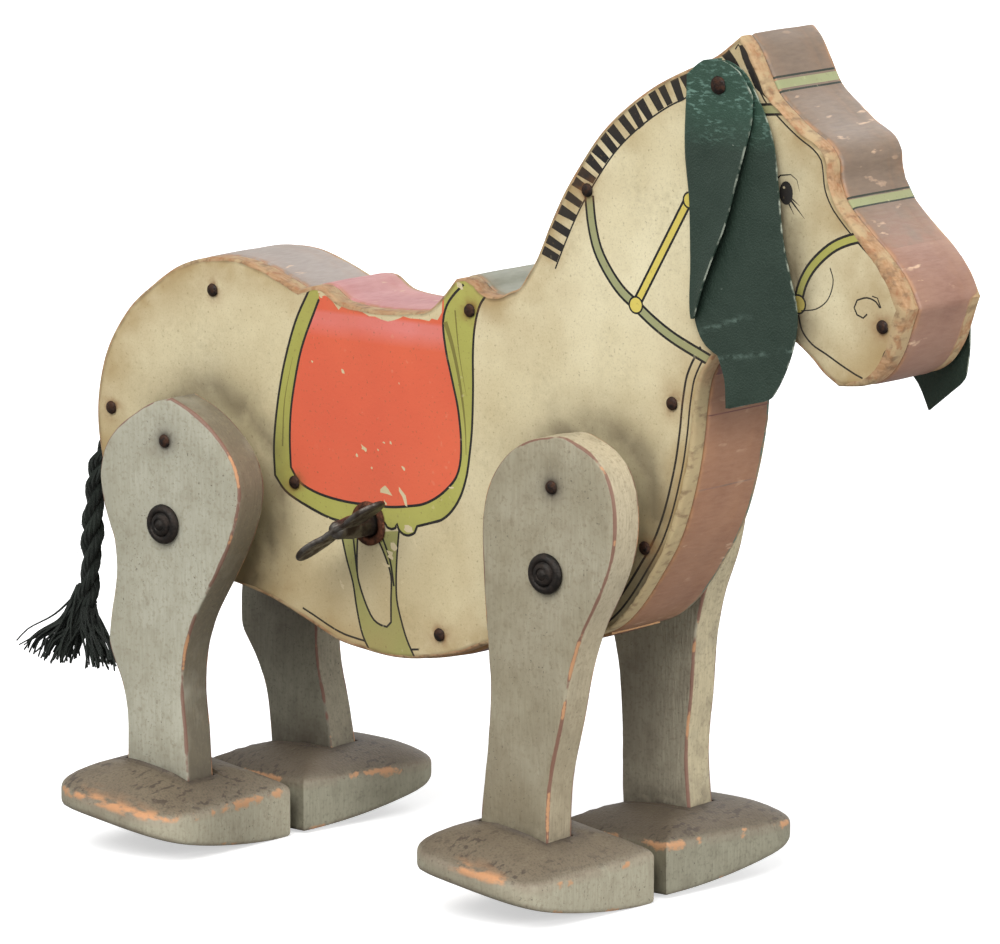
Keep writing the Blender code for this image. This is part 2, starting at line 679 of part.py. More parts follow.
def third_centre():
    first_reach = MODULE * (SECOND_TEETH + THIRD_PINION_TEETH) / 2
    second_reach = MODULE * (THIRD_TEETH + DRIVE_TEETH) / 2
    return meeting_point(second_centre(), first_reach, REAR_AXLE, second_reach)


def heading(start, end):
    return math.degrees(math.atan2(end[1] - start[1], end[0] - start[0]))


def meshing_phase(driver, driven, driver_phase, driver_teeth, driven_teeth):
    """The turn that sets a gear's tooth into its partner's gap on the line between them."""
    line = heading(driver, driven)
    offset = ((line - driver_phase) / (360 / driver_teeth)) % 1
    return line + 180 + (0.5 + offset) * (360 / driven_teeth)


def train_phases():
    """Where the teeth of each wheel stand, from the drive pinion back to the great wheel."""
    second = second_centre()
    third = third_centre()
    drive = 0.0
    third_wheel = meshing_phase(REAR_AXLE, third, drive, DRIVE_TEETH, THIRD_TEETH)
    third_pinion = 0.0
    second_wheel = meshing_phase(third, second, third_pinion, THIRD_PINION_TEETH, SECOND_TEETH)
    second_pinion = 0.0
    great = meshing_phase(second, WINDING, second_pinion, SECOND_PINION_TEETH, GREAT_TEETH)
    return drive, third_wheel, third_pinion, second_wheel, second_pinion, great


def plate_gap():
    """The inner faces of the plates."""
    return RIGHT_PLATE + PLATE, LEFT_PLATE


def plate_outline():
    """Both plates: from behind the rear axle to ahead of the winding arbor, cut away under the third wheel."""
    rear = REAR_AXLE[0] - PLATE_REAR
    front = WINDING[0] + PLATE_FRONT
    top = WINDING[1] + PLATE_TOP
    bottom = WINDING[1] - PLATE_BOTTOM
    rear_bottom = REAR_AXLE[1] - PLATE_STEP
    step = second_centre()[0]
    return [(rear, rear_bottom + PLATE_CORNER), (rear, top - PLATE_CORNER), (rear + PLATE_CORNER, top),
            (front - PLATE_CORNER, top), (front, top - PLATE_CORNER), (front, bottom + PLATE_CORNER),
            (front - PLATE_CORNER, bottom), (step, bottom), (step - 2 * PLATE_CORNER, rear_bottom),
            (rear + PLATE_CORNER, rear_bottom)]


def pillar_spots():
    """Two pillars at the plates' front, one at their rear top and one under the third wheel."""
    rear = REAR_AXLE[0] - PLATE_REAR + PILLAR_INSET
    front = WINDING[0] + PLATE_FRONT - PILLAR_INSET
    top = WINDING[1] + PLATE_TOP - PILLAR_INSET
    bottom = WINDING[1] - PLATE_BOTTOM + PILLAR_INSET
    rear_bottom = REAR_AXLE[1] - PLATE_STEP + PILLAR_INSET
    return [(front, top), (front, bottom), (rear, top), (third_centre()[0], rear_bottom)]


def make_plates():
    """The right plate carries the pillars, riveted in; their ends pass through the left plate."""
    low, high = plate_gap()
    outline = plate_outline()
    pillars = pillar_spots()
    turning = [circle(spot, PIVOT + GAP, 12) for spot in (second_centre(), third_centre())]
    turning.append(circle(REAR_AXLE, AXLE + RUN))
    holes = turning + [circle(WINDING, WINDING_ARBOR + RUN), nail_hole(MOTOR_NAIL)]
    plate = place("right_motor_plate", "steel", lambda bm: prism(bm, outline, RIGHT_PLATE, low, holes))
    profile = [(0, low - FUSE), (PILLAR, low - FUSE), (PILLAR, high - GAP), (PIVOT, high - GAP),
               (PIVOT, high + PLATE + RIVET), (0, high + PLATE + RIVET)]
    for spot in pillars:
        combined(plate, "UNION", lambda bm, at=spot: lathe(bm, at, profile, LEFT, 12))
    holes = turning + [circle(WINDING, WINDING_PIVOT + RUN)] + [circle(spot, PIVOT + GAP, 12) for spot in pillars]
    place("left_motor_plate", "steel", lambda bm: prism(bm, outline, high, high + PLATE, holes))


def arbor_profile(radius):
    low, high = plate_gap()
    return [(0, low - PLATE + RIVET), (PIVOT, low - PLATE + RIVET), (PIVOT, low + GAP), (radius, low + GAP),
            (radius, high - GAP), (PIVOT, high - GAP), (PIVOT, high + PLATE + RIVET), (0, high + PLATE + RIVET)]


def make_train():
    second = second_centre()
    third = third_centre()
    drive, third_wheel, third_pinion, second_wheel, second_pinion, great = train_phases()
    shaft = PIVOT + WHEEL_HUB

    item = place("drive_pinion", "brass", lambda bm: prism(
        bm, gear(REAR_AXLE, DRIVE_TEETH, drive), *DRIVE_PINION_Y, [circle(REAR_AXLE, AXLE + GAP, 12)]))
    set_origin(item, REAR_AXLE[0], 0, REAR_AXLE[1])

    for name, centre, teeth, phase, faces in (
            ("third", third, THIRD_PINION_TEETH, third_pinion, THIRD_PINION_Y),
            ("second", second, SECOND_PINION_TEETH, second_pinion, SECOND_PINION_Y)):
        item = place(name + "_arbor", "steel", lambda bm, c=centre: lathe(bm, c, arbor_profile(shaft), LEFT, 12))
        combined(item, "UNION", lambda bm, c=centre, t=teeth, p=phase, f=faces: prism(bm, gear(c, t, p), *f))
        set_origin(item, centre[0], 0, centre[1])

    for name, centre, teeth, phase, faces in (
            ("third_wheel", third, THIRD_TEETH, third_wheel, THIRD_WHEEL_Y),
            ("second_wheel", second, SECOND_TEETH, second_wheel, SECOND_WHEEL_Y)):
        item = place(name, "brass", lambda bm, c=centre, t=teeth, p=phase, f=faces: prism(
            bm, gear(c, t, p), *f, [circle(c, shaft + GAP, 12)]))
        set_origin(item, centre[0], 0, centre[1])

    click = click_pivot()
    item = place("great_wheel", "brass", lambda bm: prism(
        bm, gear(WINDING, GREAT_TEETH, great), *GREAT_WHEEL_Y,
        [circle(WINDING, WINDING_ARBOR + RUN), circle(click, CLICK_PIN + GAP, NAIL_SIDES)]))
    set_origin(item, WINDING[0], 0, WINDING[1])


def click_pivot():
    return on_circle(WINDING, CLICK_PIVOT, CLICK_ANGLE)


def make_winding_work():
    high = LEFT_PLATE
    profile = [(0, -ARBOR_END), (WINDING_ARBOR, -ARBOR_END), (WINDING_ARBOR, high - GAP),
               (WINDING_PIVOT, high - GAP), (WINDING_PIVOT, high + PLATE + RIVET), (0, high + PLATE + RIVET)]
    item = place("winding_arbor", "steel", lambda bm: lathe(bm, WINDING, profile))
    set_origin(item, WINDING[0], 0, WINDING[1])

    tooth = 360 / RATCHET_TEETH
    teeth = []
    for i in range(RATCHET_TEETH):
        teeth.append(on_circle(WINDING, RATCHET_ROOT, i * tooth))
        teeth.append(on_circle(WINDING, RATCHET, i * tooth + 0.85 * tooth))
    item = place("ratchet_wheel", "steel", lambda bm: prism(
        bm, teeth, *RATCHET_Y, [circle(WINDING, WINDING_ARBOR + GAP)]))
    set_origin(item, WINDING[0], 0, WINDING[1])

    pivot_spot = click_pivot()
    nose = on_circle(WINDING, RATCHET + RUN + CLICK_NOSE, CLICK_NOSE_ANGLE)
    item = place("ratchet_click", "steel", lambda bm: prism(
        bm, lever(pivot_spot, nose, CLICK_BOSS, CLICK_NOSE), *RATCHET_Y))
    pin = rod_profile(CLICK_PIN, RATCHET_Y[1] - FUSE, GREAT_WHEEL_Y[1])
    combined(item, "UNION", lambda bm: lathe(bm, pivot_spot, pin, LEFT, NAIL_SIDES))
    set_origin(item, WINDING[0], 0, WINDING[1])


def lever(start, end, start_radius, end_radius, sides=6):
    """Round about its pivot and narrow at its nose."""
    line = heading(start, end)
    points = [on_circle(end, end_radius, line - 90 + 180 * i / sides) for i in range(sides + 1)]
    points += [on_circle(start, start_radius, line + 90 + 180 * i / sides) for i in range(sides + 1)]
    return points


def make_mainspring():
    """A flat spiral from the arbor out to a pillar."""
    anchor = pillar_spots()[1]
    end_angle = heading(WINDING, anchor)
    end_radius = math.dist(WINDING, anchor) - PILLAR - GAP - SPRING_STRIP
    steps = SPRING_TURNS * SPRING_STEPS

    def radius_at(turned_by):
        total = 360 * SPRING_TURNS
        radius = SPRING_IN + (SPRING_OUT - SPRING_IN) * turned_by / total
        rest = max(0.0, (turned_by - total + SPRING_TAIL) / SPRING_TAIL)
        return radius + (end_radius - SPRING_OUT) * rest * rest

    inner = []
    outer = []
    for i in range(steps + 1):
        turned_by = 360 * SPRING_TURNS * i / steps
        angle = end_angle - 360 * SPRING_TURNS + turned_by
        radius = radius_at(turned_by)
        inner.append(on_circle(WINDING, radius - SPRING_STRIP / 2, angle))
        outer.append(on_circle(WINDING, radius + SPRING_STRIP / 2, angle))
    pitch = (SPRING_OUT - SPRING_IN) / SPRING_TURNS
    print("mainspring's least gap to itself, mm:", round(pitch - SPRING_STRIP, 2))
    place("mainspring", "spring_steel", lambda bm: prism(bm, outer + inner[::-1], *SPRING_Y))


def make_key():
    middle = OUTER + KEY_OUT
    barrel_end = middle + KEY_WAIST
    item = place("wing_key", "dark_steel", lambda bm: lathe(
        bm, WINDING, [(0, KEY_BARREL_IN), (KEY_BARREL, KEY_BARREL_IN), (KEY_BARREL, barrel_end - KEY_SHEET),
                      (KEY_NECK, barrel_end), (0, barrel_end)], RIGHT))

    def wings(bm):
        along = Vector((math.cos(math.radians(KEY_ANGLE)), 0, math.sin(math.radians(KEY_ANGLE))))
        across = Vector((-along.z, 0, along.x)) * KEY_SHEET / 2
        lobe_centre = KEY_SPAN / 2 - KEY_LOBE_LENGTH
        half = []
        for i in range(9):
            angle = math.radians(130 - 130 * i / 8)
            half.append((lobe_centre + KEY_LOBE_LENGTH * math.cos(angle), KEY_LOBE_HEIGHT * math.sin(angle)))
        upper = [(-w, h) for w, h in half[::-1]] + [(-KEY_NECK, KEY_WAIST), (KEY_NECK, KEY_WAIST)] + half
        outline = upper + [(w, -h) for w, h in upper[::-1][1:-1]]
        flat = []
        for w, h in outline:
            spot = Vector((WINDING[0], -(middle + h), WINDING[1])) + along * w
            flat.append(spot)
        faces = []
        for shift in (-across, across):
            faces.append([bm.verts.new((spot + shift) * MM) for spot in flat])
        bm.faces.new(faces[0])
        bm.faces.new(faces[1][::-1])
        count = len(flat)
        for i in range(count):
            j = (i + 1) % count
            bm.faces.new((faces[0][j], faces[0][i], faces[1][i], faces[1][j]))

    combined(item, "UNION", wings)
    socket = rod_profile(WINDING_ARBOR + GAP, KEY_BARREL_IN - GAP, ARBOR_END + GAP)
    combined(item, "DIFFERENCE", lambda bm: lathe(bm, WINDING, socket, RIGHT))
    set_origin(item, WINDING[0], 0, WINDING[1])


def make_eyelet():
    face = OUTER + GAP
    profile = [(EYELET_BORE, INNER + GAP), (EYELET_TUBE, INNER + GAP), (EYELET_TUBE, face), (EYELET_FLANGE, face),
               (EYELET_FLANGE - EYELET_FLANGE_THICKNESS / 2, face + EYELET_FLANGE_THICKNESS),
               (EYELET_BORE, face + EYELET_FLANGE_THICKNESS)]
    place("key_eyelet", "copper", lambda bm: lathe(bm, WINDING, profile, RIGHT, 20, ring=True))


# Legs, feet and their nails


def foot_rim():
    """Half a foot's outline as (dx, outward place), from the inner corner at the front round to the back."""
    points = [(FOOT_HALF_LENGTH, FOOT_INNER + (FOOT_STRAIGHT - FOOT_INNER) * i / 3) for i in range(4)]
    depth = FOOT_OUTER - FOOT_STRAIGHT
    for i in range(1, 8):
        angle = math.radians(90 * i / 8)
        dx = FOOT_HALF_LENGTH * math.cos(angle) ** (2 / FOOT_ROUNDING)
        out = FOOT_STRAIGHT + depth * math.sin(angle) ** (2 / FOOT_ROUNDING)
        points.append((dx, out))
    points.append((0, FOOT_OUTER))
    back = [(-dx, out) for dx, out in points[-2::-1]]
    inner = [(FOOT_HALF_LENGTH * share, FOOT_INNER) for share in (-0.5, 0, 0.5)]
    return points + back + inner


def make_foot(bm, centre_x, outward, slant, turn, side):
    """A pad with a domed top. Its sole is a rocker across the toy, worn flat where it stands."""
    rim = foot_rim()
    middle = (FOOT_INNER + FOOT_OUTER) / 2
    slope = math.tan(math.radians(slant))
    lift = abs(slope) * FOOT_HALF_LENGTH
    turning = Matrix.Rotation(math.radians(turn), 2)

    def corner(dx, out, z):
        spot = turning @ Vector((dx, side * (out - middle)))
        return bm.verts.new(((centre_x + spot.x) * MM, (spot.y + side * (middle + outward)) * MM, z * MM))

    def top_height(dx, share, rim_out):
        across = (rim_out - FOOT_INNER) / (FOOT_OUTER - FOOT_INNER)
        rim_z = FOOT_RIM_INNER + (FOOT_RIM_OUTER - FOOT_RIM_INNER) * across
        return FOOT_CROWN - (FOOT_CROWN - rim_z) * share ** FOOT_DOME + slope * dx + lift

    def sole_height(dx, out):
        return out * out / (2 * SOLE_RADIUS) - SOLE_WEAR + slope * dx + lift

    rings = []
    for share in FOOT_RINGS:
        rings.append([corner(dx * share, middle + (out - middle) * share, top_height(dx * share, share, out))
                      for dx, out in rim])
    for share in SOLE_RINGS:
        ring = []
        for dx, out in rim:
            out_here = middle + (out - middle) * share
            ring.append(corner(dx * share, out_here, sole_height(dx * share, out_here)))
        rings.append(ring)
    count = len(rim)
    for a, b in zip(rings, rings[1:]):
        for i in range(count):
            j = (i + 1) % count
            bm.faces.new((a[i], a[j], b[j], b[i]))
    crown = corner(0, middle, FOOT_CROWN + lift)
    base = corner(0, middle, sole_height(0, middle))
    for i in range(count):
        j = (i + 1) % count
        bm.faces.new((crown, rings[0][j], rings[0][i]))
        bm.faces.new((base, rings[-1][i], rings[-1][j]))
    worn = bmesh.ops.bisect_plane(bm, geom=bm.verts[:] + bm.edges[:] + bm.faces[:], plane_co=(0, 0, 0),
                                  plane_no=(0, 0, -1), clear_outer=True)
    edges = [item for item in worn["geom_cut"] if isinstance(item, bmesh.types.BMEdge)]
    bmesh.ops.triangle_fill(bm, use_beauty=True, edges=edges, normal=(0, 0, -1))


def make_leg_set(end, axle, back, front, guide, side):
    """A leg, its foot, which it stands in, and the nail that guides it in the side board's window."""
    prefix = side_name(side) + "_" + end
    pin = pin_centre(axle, side)
    outline = [leg_point(axle, point, side) for point in joined(smooth(back), smooth(front))[::-1]]
    nail = leg_point(axle, guide, side)
    ahead, outward, slant, turn = STANCE[end, side]
    ankle = leg_point(axle, ((back[-1][0] + front[0][0]) / 2, back[-1][1]), side)

    leg = place(prefix + "_leg", "paint_grey_green", lambda bm: prism(
        bm, outline, side * LEG_IN, side * LEG_OUT, [circle(pin, PIN + RUN), nail_hole(nail)]))
    foot = place(prefix + "_foot", "paint_grey_green",
                 lambda bm: make_foot(bm, ankle[0] + ahead, outward, slant, turn, side))
    pocket = inset(outline, -GAP, closed=True)
    combined(foot, "DIFFERENCE", lambda bm: prism(bm, pocket, side * (LEG_IN - GAP), side * (LEG_OUT + GAP)))
    seat = LEG_OUT + GAP
    guide_nail = place(prefix + "_guide_nail", "dark_steel",
                       lambda bm: lathe(bm, nail, nail_profile(seat, seat - GUIDE_TIP), side, NAIL_SIDES))
    for item in (leg, foot, guide_nail):
        set_origin(item, pin[0], 0, pin[1])


# Ears and tail


def make_ear(side):
    nail = ear_nail(side)
    swing = LEFT_EAR_SWING if side == LEFT else 0
    points = [turned((nail[0] + x, nail[1] + z), nail, swing) for x, z in EAR]
    inner_face = OUTER + EAR_STANDOFF
    outer_face = inner_face + EAR_THICKNESS
    item = place(side_name(side) + "_ear", "oilcloth", lambda bm: prism(
        bm, points, side * inner_face, side * outer_face, [nail_hole(nail)]))
    set_origin(item, nail[0], 0, nail[1])
    seat = outer_face + GAP
    length = seat - INNER + EAR_NAIL_GRIP
    place(side_name(side) + "_ear_nail", "dark_steel",
          lambda bm: lathe(bm, nail, nail_profile(seat, length), side, NAIL_SIDES))


def make_tail():
    route = smooth(TAIL_ROUTE, 2 * TAIL_ROPE)
    curve = bpy.data.curves.new("tail_rope", "CURVE")
    curve.dimensions = "3D"
    spline = curve.splines.new("POLY")
    spline.points.add(len(route) - 1)
    for point, (x, z) in zip(spline.points, route):
        point.co = (x * MM, 0, z * MM, 1)
    curve.bevel_depth = TAIL_ROPE * MM
    curve.bevel_resolution = 2
    curve.use_fill_caps = True
    curve.materials.append(principled("tail_rope", "rope"))
    item = bpy.data.objects.new("tail_rope", curve)
    bpy.context.scene.collection.objects.link(item)

    def brush(bm):
        top = Vector(TAIL_ROUTE[-1]) - Vector((0, BRUSH_GAP))
        bottom = Vector(BRUSH_BOTTOM)
        rings = []
        for share in BRUSH_RINGS:
            centre = top.lerp(bottom, share)
            long = BRUSH_TOP + (BRUSH_HALF_LENGTH - BRUSH_TOP) * share ** BRUSH_SPREAD
            wide = BRUSH_TOP + (BRUSH_HALF_WIDTH - BRUSH_TOP) * share
            ring = []
            for i in range(BRUSH_SIDES):
                angle = 2 * math.pi * i / BRUSH_SIDES
                spot = (centre.x + long * math.cos(angle), wide * math.sin(angle), centre.y)
                ring.append(bm.verts.new(Vector(spot) * MM))
            rings.append(ring)
        bm.faces.new(rings[0])
        bm.faces.new(rings[-1][::-1])
        for a, b in zip(rings, rings[1:]):
            for i in range(BRUSH_SIDES):
                j = (i + 1) % BRUSH_SIDES
                bm.faces.new((a[i], a[j], b[j], b[i]))

    place("tail_brush", "rope", brush)


def make_mule():
    clear_scene()
    for side in (RIGHT, LEFT):
        make_side_board(side)
    make_core()
    make_nails()
    for end, axle in (("rear", REAR_AXLE), ("front", FRONT_AXLE)):
        make_axle(end + "_axle", axle)
        for side in (RIGHT, LEFT):
            make_crank(side_name(side) + "_" + end + "_crank", axle, side)
            make_push_nut(side_name(side) + "_" + end + "_push_nut", axle, side)
    make_coupling_rod()
    make_plates()
    make_train()
    make_winding_work()
    make_mainspring()
    make_key()
    make_eyelet()
    for side in (RIGHT, LEFT):
        make_leg_set("front", FRONT_AXLE, FRONT_LEG_BACK, FRONT_LEG_FRONT, FRONT_GUIDE, side)
        make_leg_set("rear", REAR_AXLE, REAR_LEG_BACK, REAR_LEG_FRONT, REAR_GUIDE, side)
        make_ear(side)
    make_tail()


make_mule()
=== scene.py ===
"""The looks of the wind-up walking mule: worn wood, printed paper, oilcloth, rope and old iron."""
import json
import math
import random

import bmesh
import bpy
from mathutils import Matrix, Vector
from mathutils.geometry import delaunay_2d_cdt
from mathutils.kdtree import KDTree

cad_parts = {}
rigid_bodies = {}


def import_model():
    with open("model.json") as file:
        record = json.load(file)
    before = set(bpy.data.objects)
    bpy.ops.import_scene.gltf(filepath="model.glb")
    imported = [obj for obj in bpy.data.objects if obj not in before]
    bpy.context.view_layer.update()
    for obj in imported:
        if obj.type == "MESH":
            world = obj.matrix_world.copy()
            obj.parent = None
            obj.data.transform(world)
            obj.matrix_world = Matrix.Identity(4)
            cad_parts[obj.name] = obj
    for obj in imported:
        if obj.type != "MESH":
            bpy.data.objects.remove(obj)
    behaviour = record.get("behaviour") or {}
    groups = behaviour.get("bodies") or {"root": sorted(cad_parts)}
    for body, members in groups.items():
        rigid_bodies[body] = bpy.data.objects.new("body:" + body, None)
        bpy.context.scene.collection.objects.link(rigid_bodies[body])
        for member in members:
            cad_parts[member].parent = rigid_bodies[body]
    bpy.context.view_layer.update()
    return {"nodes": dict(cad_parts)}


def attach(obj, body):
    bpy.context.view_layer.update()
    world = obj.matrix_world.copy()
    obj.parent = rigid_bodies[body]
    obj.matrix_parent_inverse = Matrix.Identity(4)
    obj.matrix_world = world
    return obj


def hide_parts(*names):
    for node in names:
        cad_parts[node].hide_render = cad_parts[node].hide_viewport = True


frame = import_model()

# Camera: a long lens, as for a catalogue picture, so that the boards' edges stay nearly parallel. It
# looks from the mule's right front, a little above its back.
camera_data = bpy.data.cameras.new("camera")
camera_data.sensor_width = 36
camera_data.lens = 266.9
camera = bpy.data.objects.new("camera", camera_data)
camera.location = (1.07465, -1.3452, 0.40056)
camera_target = Vector((-0.00661, 0, 0.09685))
camera.rotation_euler = (camera_target - camera.location).to_track_quat("-Z", "Y").to_euler()
bpy.context.scene.collection.objects.link(camera)
bpy.context.scene.camera = camera

# Tail: three strands of dyed cotton yarn laid to a thin rope. It hangs out of a hole in the rump,
# and below its last turn the yarns are loose and cut off in a fan. All sizes are in mm.
MM = 0.001
TAIL_ROUTE = [(-119.4, 95.8), (-123.5, 95.4), (-128, 92.8), (-131.8, 87.8), (-134.2, 81.8),
              (-135.4, 74.8), (-136.1, 67.8), (-136.6, 60.8), (-137.4, 54.8), (-138.5, 49.3)]
ROPE_STEP = 0.9
STRANDS = 3
YARNS_IN_STRAND = 6
STRAND_LAY = 21
YARN_LAY = 9
STRAND_OUT = 1.32
YARN_OUT = 0.85
YARN_RADIUS = 0.58


def tone(code):
    """A linear colour from an sRGB hex code."""
    parts = [int(code[i:i + 2], 16) / 255 for i in (0, 2, 4)]
    return (*[p / 12.92 if p <= 0.04045 else ((p + 0.055) / 1.055) ** 2.4 for p in parts], 1.0)


def node(tree, kind, inputs=None, output=0, **settings):
    """Adds a node with its settings. An input is joined to a socket or gets a value. Returns one output."""
    item = tree.nodes.new(kind)
    for name, value in settings.items():
        setattr(item, name, value)
    for name, value in (inputs or {}).items():
        if isinstance(value, bpy.types.NodeSocket):
            tree.links.new(value, item.inputs[name])
        else:
            item.inputs[name].default_value = value
    return item.outputs[output]


def blotches(tree, place, size, low, high, amount=1.0, stretch=None):
    """A mask of patches about size mm across: 0 where the noise is under low, amount where it is over
    high. Stretch lays the place out in other proportions, so that the patches become streaks."""
    if stretch:
        place = node(tree, "ShaderNodeMapping", {"Vector": place, "Scale": stretch})
    noise = node(tree, "ShaderNodeTexNoise",
                 {"Vector": place, "Scale": 1 / (size * MM), "Detail": 4}, "Fac")
    return node(tree, "ShaderNodeMapRange",
                {"Value": noise, "From Min": low, "From Max": high, "To Max": amount})


def fade(tree, place, axis, start, end, amount=1.0):
    """A mask that goes from 0 at start to amount at end, two places in mm along an axis."""
    spot = node(tree, "ShaderNodeSeparateXYZ", {"Vector": place}, axis)
    return node(tree, "ShaderNodeMapRange",
                {"Value": spot, "From Min": start * MM, "From Max": end * MM, "To Max": amount})


def layered(tree, base, *layers):
    """Colours laid over a base colour. A layer is its masks, which are multiplied, and its colour."""
    for *masks, colour in layers:
        strength = masks[0]
        for other in masks[1:]:
            strength = node(tree, "ShaderNodeMath", {0: strength, 1: other}, operation="MULTIPLY")
        base = node(tree, "ShaderNodeMix", {0: strength, 6: base, 7: colour}, 2, data_type="RGBA")
    return base


def finish(name, roughness, metallic=0.0, ior=1.5):
    """A new material with its tree, its shader and the place on the toy in metres."""
    material = bpy.data.materials.new(name)
    material.use_nodes = True
    tree = material.node_tree
    shader = tree.nodes["Principled BSDF"]
    shader.inputs["Roughness"].default_value = roughness
    shader.inputs["Metallic"].default_value = metallic
    shader.inputs["IOR"].default_value = ior
    return material, tree, shader, node(tree, "ShaderNodeTexCoord", output="Object")


def coat(tree, shader, colour, height=None, depth=0.05, roughness=None):
    """Joins a colour, a relief of the given depth in mm and a roughness to the shader."""
    tree.links.new(colour, shader.inputs["Base Color"])
    if height is not None:
        bump = node(tree, "ShaderNodeBump", {"Height": height, "Distance": depth * MM, "Strength": 1.0})
        tree.links.new(bump, shader.inputs["Normal"])
    if roughness is not None:
        tree.links.new(roughness, shader.inputs["Roughness"])


def curve(points, spacing, closed=False, corner=35):
    """A centripetal curve through the points. Sharper corners than corner, in degrees, stay sharp."""
    spots = [Vector(p) for p in points]
    count = len(spots)
    sharp = set() if closed else {0, count - 1}
    for i in range(count):
        if i not in sharp:
            turn = (spots[i] - spots[i - 1]).angle(spots[(i + 1) % count] - spots[i], 0)
            if turn > math.radians(corner):
                sharp.add(i)
    line = []
    for i in range(count if closed else count - 1):
        j = (i + 1) % count
        start, end = spots[i], spots[j]
        before = 2 * start - end if i in sharp else spots[i - 1]
        after = 2 * end - start if j in sharp else spots[(j + 1) % count]
        knots = [0.0]
        for a, b in ((before, start), (start, end), (end, after)):
            knots.append(knots[-1] + math.sqrt((b - a).length))
        steps = max(1, round((end - start).length / spacing))
        for step in range(steps):
            t = knots[1] + (knots[2] - knots[1]) * step / steps
            a1 = before.lerp(start, (t - knots[0]) / (knots[1] - knots[0]))
            a2 = start.lerp(end, (t - knots[1]) / (knots[2] - knots[1]))
            a3 = end.lerp(after, (t - knots[2]) / (knots[3] - knots[2]))
            b1 = a1.lerp(a2, (t - knots[0]) / (knots[2] - knots[0]))
            b2 = a2.lerp(a3, (t - knots[1]) / (knots[3] - knots[1]))
            line.append(b1.lerp(b2, (t - knots[1]) / (knots[2] - knots[1])))
    if not closed:
        line.append(spots[-1])
    return line


def along(line):
    """Each point of a line with the directions across it, carried along without twist."""
    side = None
    for i, spot in enumerate(line):
        run = (line[min(i + 1, len(line) - 1)] - line[max(i - 1, 0)]).normalized()
        side = run.orthogonal() if side is None else side - run * side.dot(run)
        side.normalize()
        yield spot, side.copy(), run.cross(side)


def tube(bm, line, radii, sides=6):
    """A closed tube along a line, in mm, with a radius at each point."""
    rings = []
    for (spot, side, up), radius in zip(along(line), radii):
        ring = []
        for i in range(sides):
            angle = 2 * math.pi * i / sides
            away = side * math.cos(angle) + up * math.sin(angle)
            ring.append(bm.verts.new((spot + away * radius) * MM))
        rings.append(ring)
    for a, b in zip(rings, rings[1:]):
        for i in range(sides):
            j = (i + 1) % sides
            bm.faces.new((a[i], a[j], b[j], b[i]))
    bm.faces.new(rings[0][::-1])
    bm.faces.new(rings[-1])


def piece(name, bm, finishes, slot, *nodes, body="mule_body", crease=45):
    """An object from a mesh. It stands for the CAD nodes that are named and rides on their body."""
    mesh = bpy.data.meshes.new(name)
    bm.to_mesh(mesh)
    bm.free()
    mesh.shade_smooth()
    mesh.set_sharp_from_angle(angle=math.radians(crease))
    for material in finishes:
        mesh.materials.append(material)
    item = bpy.data.objects.new(name, mesh)
    bpy.context.scene.collection.objects.link(item)
    if nodes:
        body = frame["nodes"][nodes[0]].parent.name.split(":")[1]
        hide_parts(*nodes)
    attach(item, body)
    return item


# Dyed cotton yarn: matt fibres that take the light softly, nearly black, with a green cast where the
# dye has faded. A fibre is a hundredth of a mm wide and is drawn 0.35 mm wide, so that it shows.
yarn, tree, shader, place = finish("dyed_cotton_yarn", 0.95)
fibres = blotches(tree, place, 0.35, 0.4, 0.65)
colour = layered(tree, tone("161C17"), (blotches(tree, place, 6, 0.45, 0.75, 0.8), tone("2A332B")),
                 (fibres, 0.3, tone("363B33")))
coat(tree, shader, colour, fibres, 0.12)
shader.inputs["Specular IOR Level"].default_value = 0.2
shader.inputs["Sheen Weight"].default_value = 0.08
shader.inputs["Sheen Roughness"].default_value = 0.6

rope_route = [Vector((x, 0, z)) for x, z in TAIL_ROUTE]
rope_line = curve(rope_route, ROPE_STEP)
rope_frames = list(along(rope_line))
bm = bmesh.new()
for strand in range(STRANDS):
    for yarn_number in range(YARNS_IN_STRAND):
        line = []
        for i, (spot, side, up) in enumerate(rope_frames):
            turn = 2 * math.pi * (i * ROPE_STEP / STRAND_LAY + strand / STRANDS)
            out = side * math.cos(turn) + up * math.sin(turn)
            over = up * math.cos(turn) - side * math.sin(turn)
            twist = -2 * math.pi * (i * ROPE_STEP / YARN_LAY + yarn_number / YARNS_IN_STRAND)
            swell = 1.04 + 0.16 * math.sin(i * 0.33 + strand * 0.4)
            from_strand = (out * math.cos(twist) + over * math.sin(twist)) * YARN_OUT
            line.append(spot + (out * STRAND_OUT + from_strand) * swell)
        tube(bm, line, [YARN_RADIUS] * len(line), 5)
tail_rope = piece("tail_rope_laid", bm, [yarn], "rope", "tail_rope")
rope_length = sum((b - a).length for a, b in zip(rope_line, rope_line[1:])) * MM

# The fan: locks of loose yarn, each with the place of its tip and a number of yarn pairs
LOCKS = [((-157, 35.6), 5), ((-153.6, 33.9), 9), ((-149.5, 33.4), 9), ((-146.6, 33), 10),
         ((-143.6, 34.4), 7), ((-134.0, 33.8), 10), ((-131.6, 33.2), 9), ((-128.8, 34.6), 5),
         ((-148, 37), 9), ((-143, 38), 6), ((-134, 37), 8)]
FAN_MIDDLE = -138
STRAY_FIBRES = 14
shuffle = random.Random(4)


def strayed(x, y, z, x_spread, y_spread, low_z, high_z):
    """A place that has strayed from (x, y, z), widest by chance along x and y."""
    stray_x = shuffle.gauss(x, x_spread)
    stray_y = shuffle.gauss(y, y_spread)
    return Vector((stray_x, stray_y, z + shuffle.uniform(low_z, high_z)))


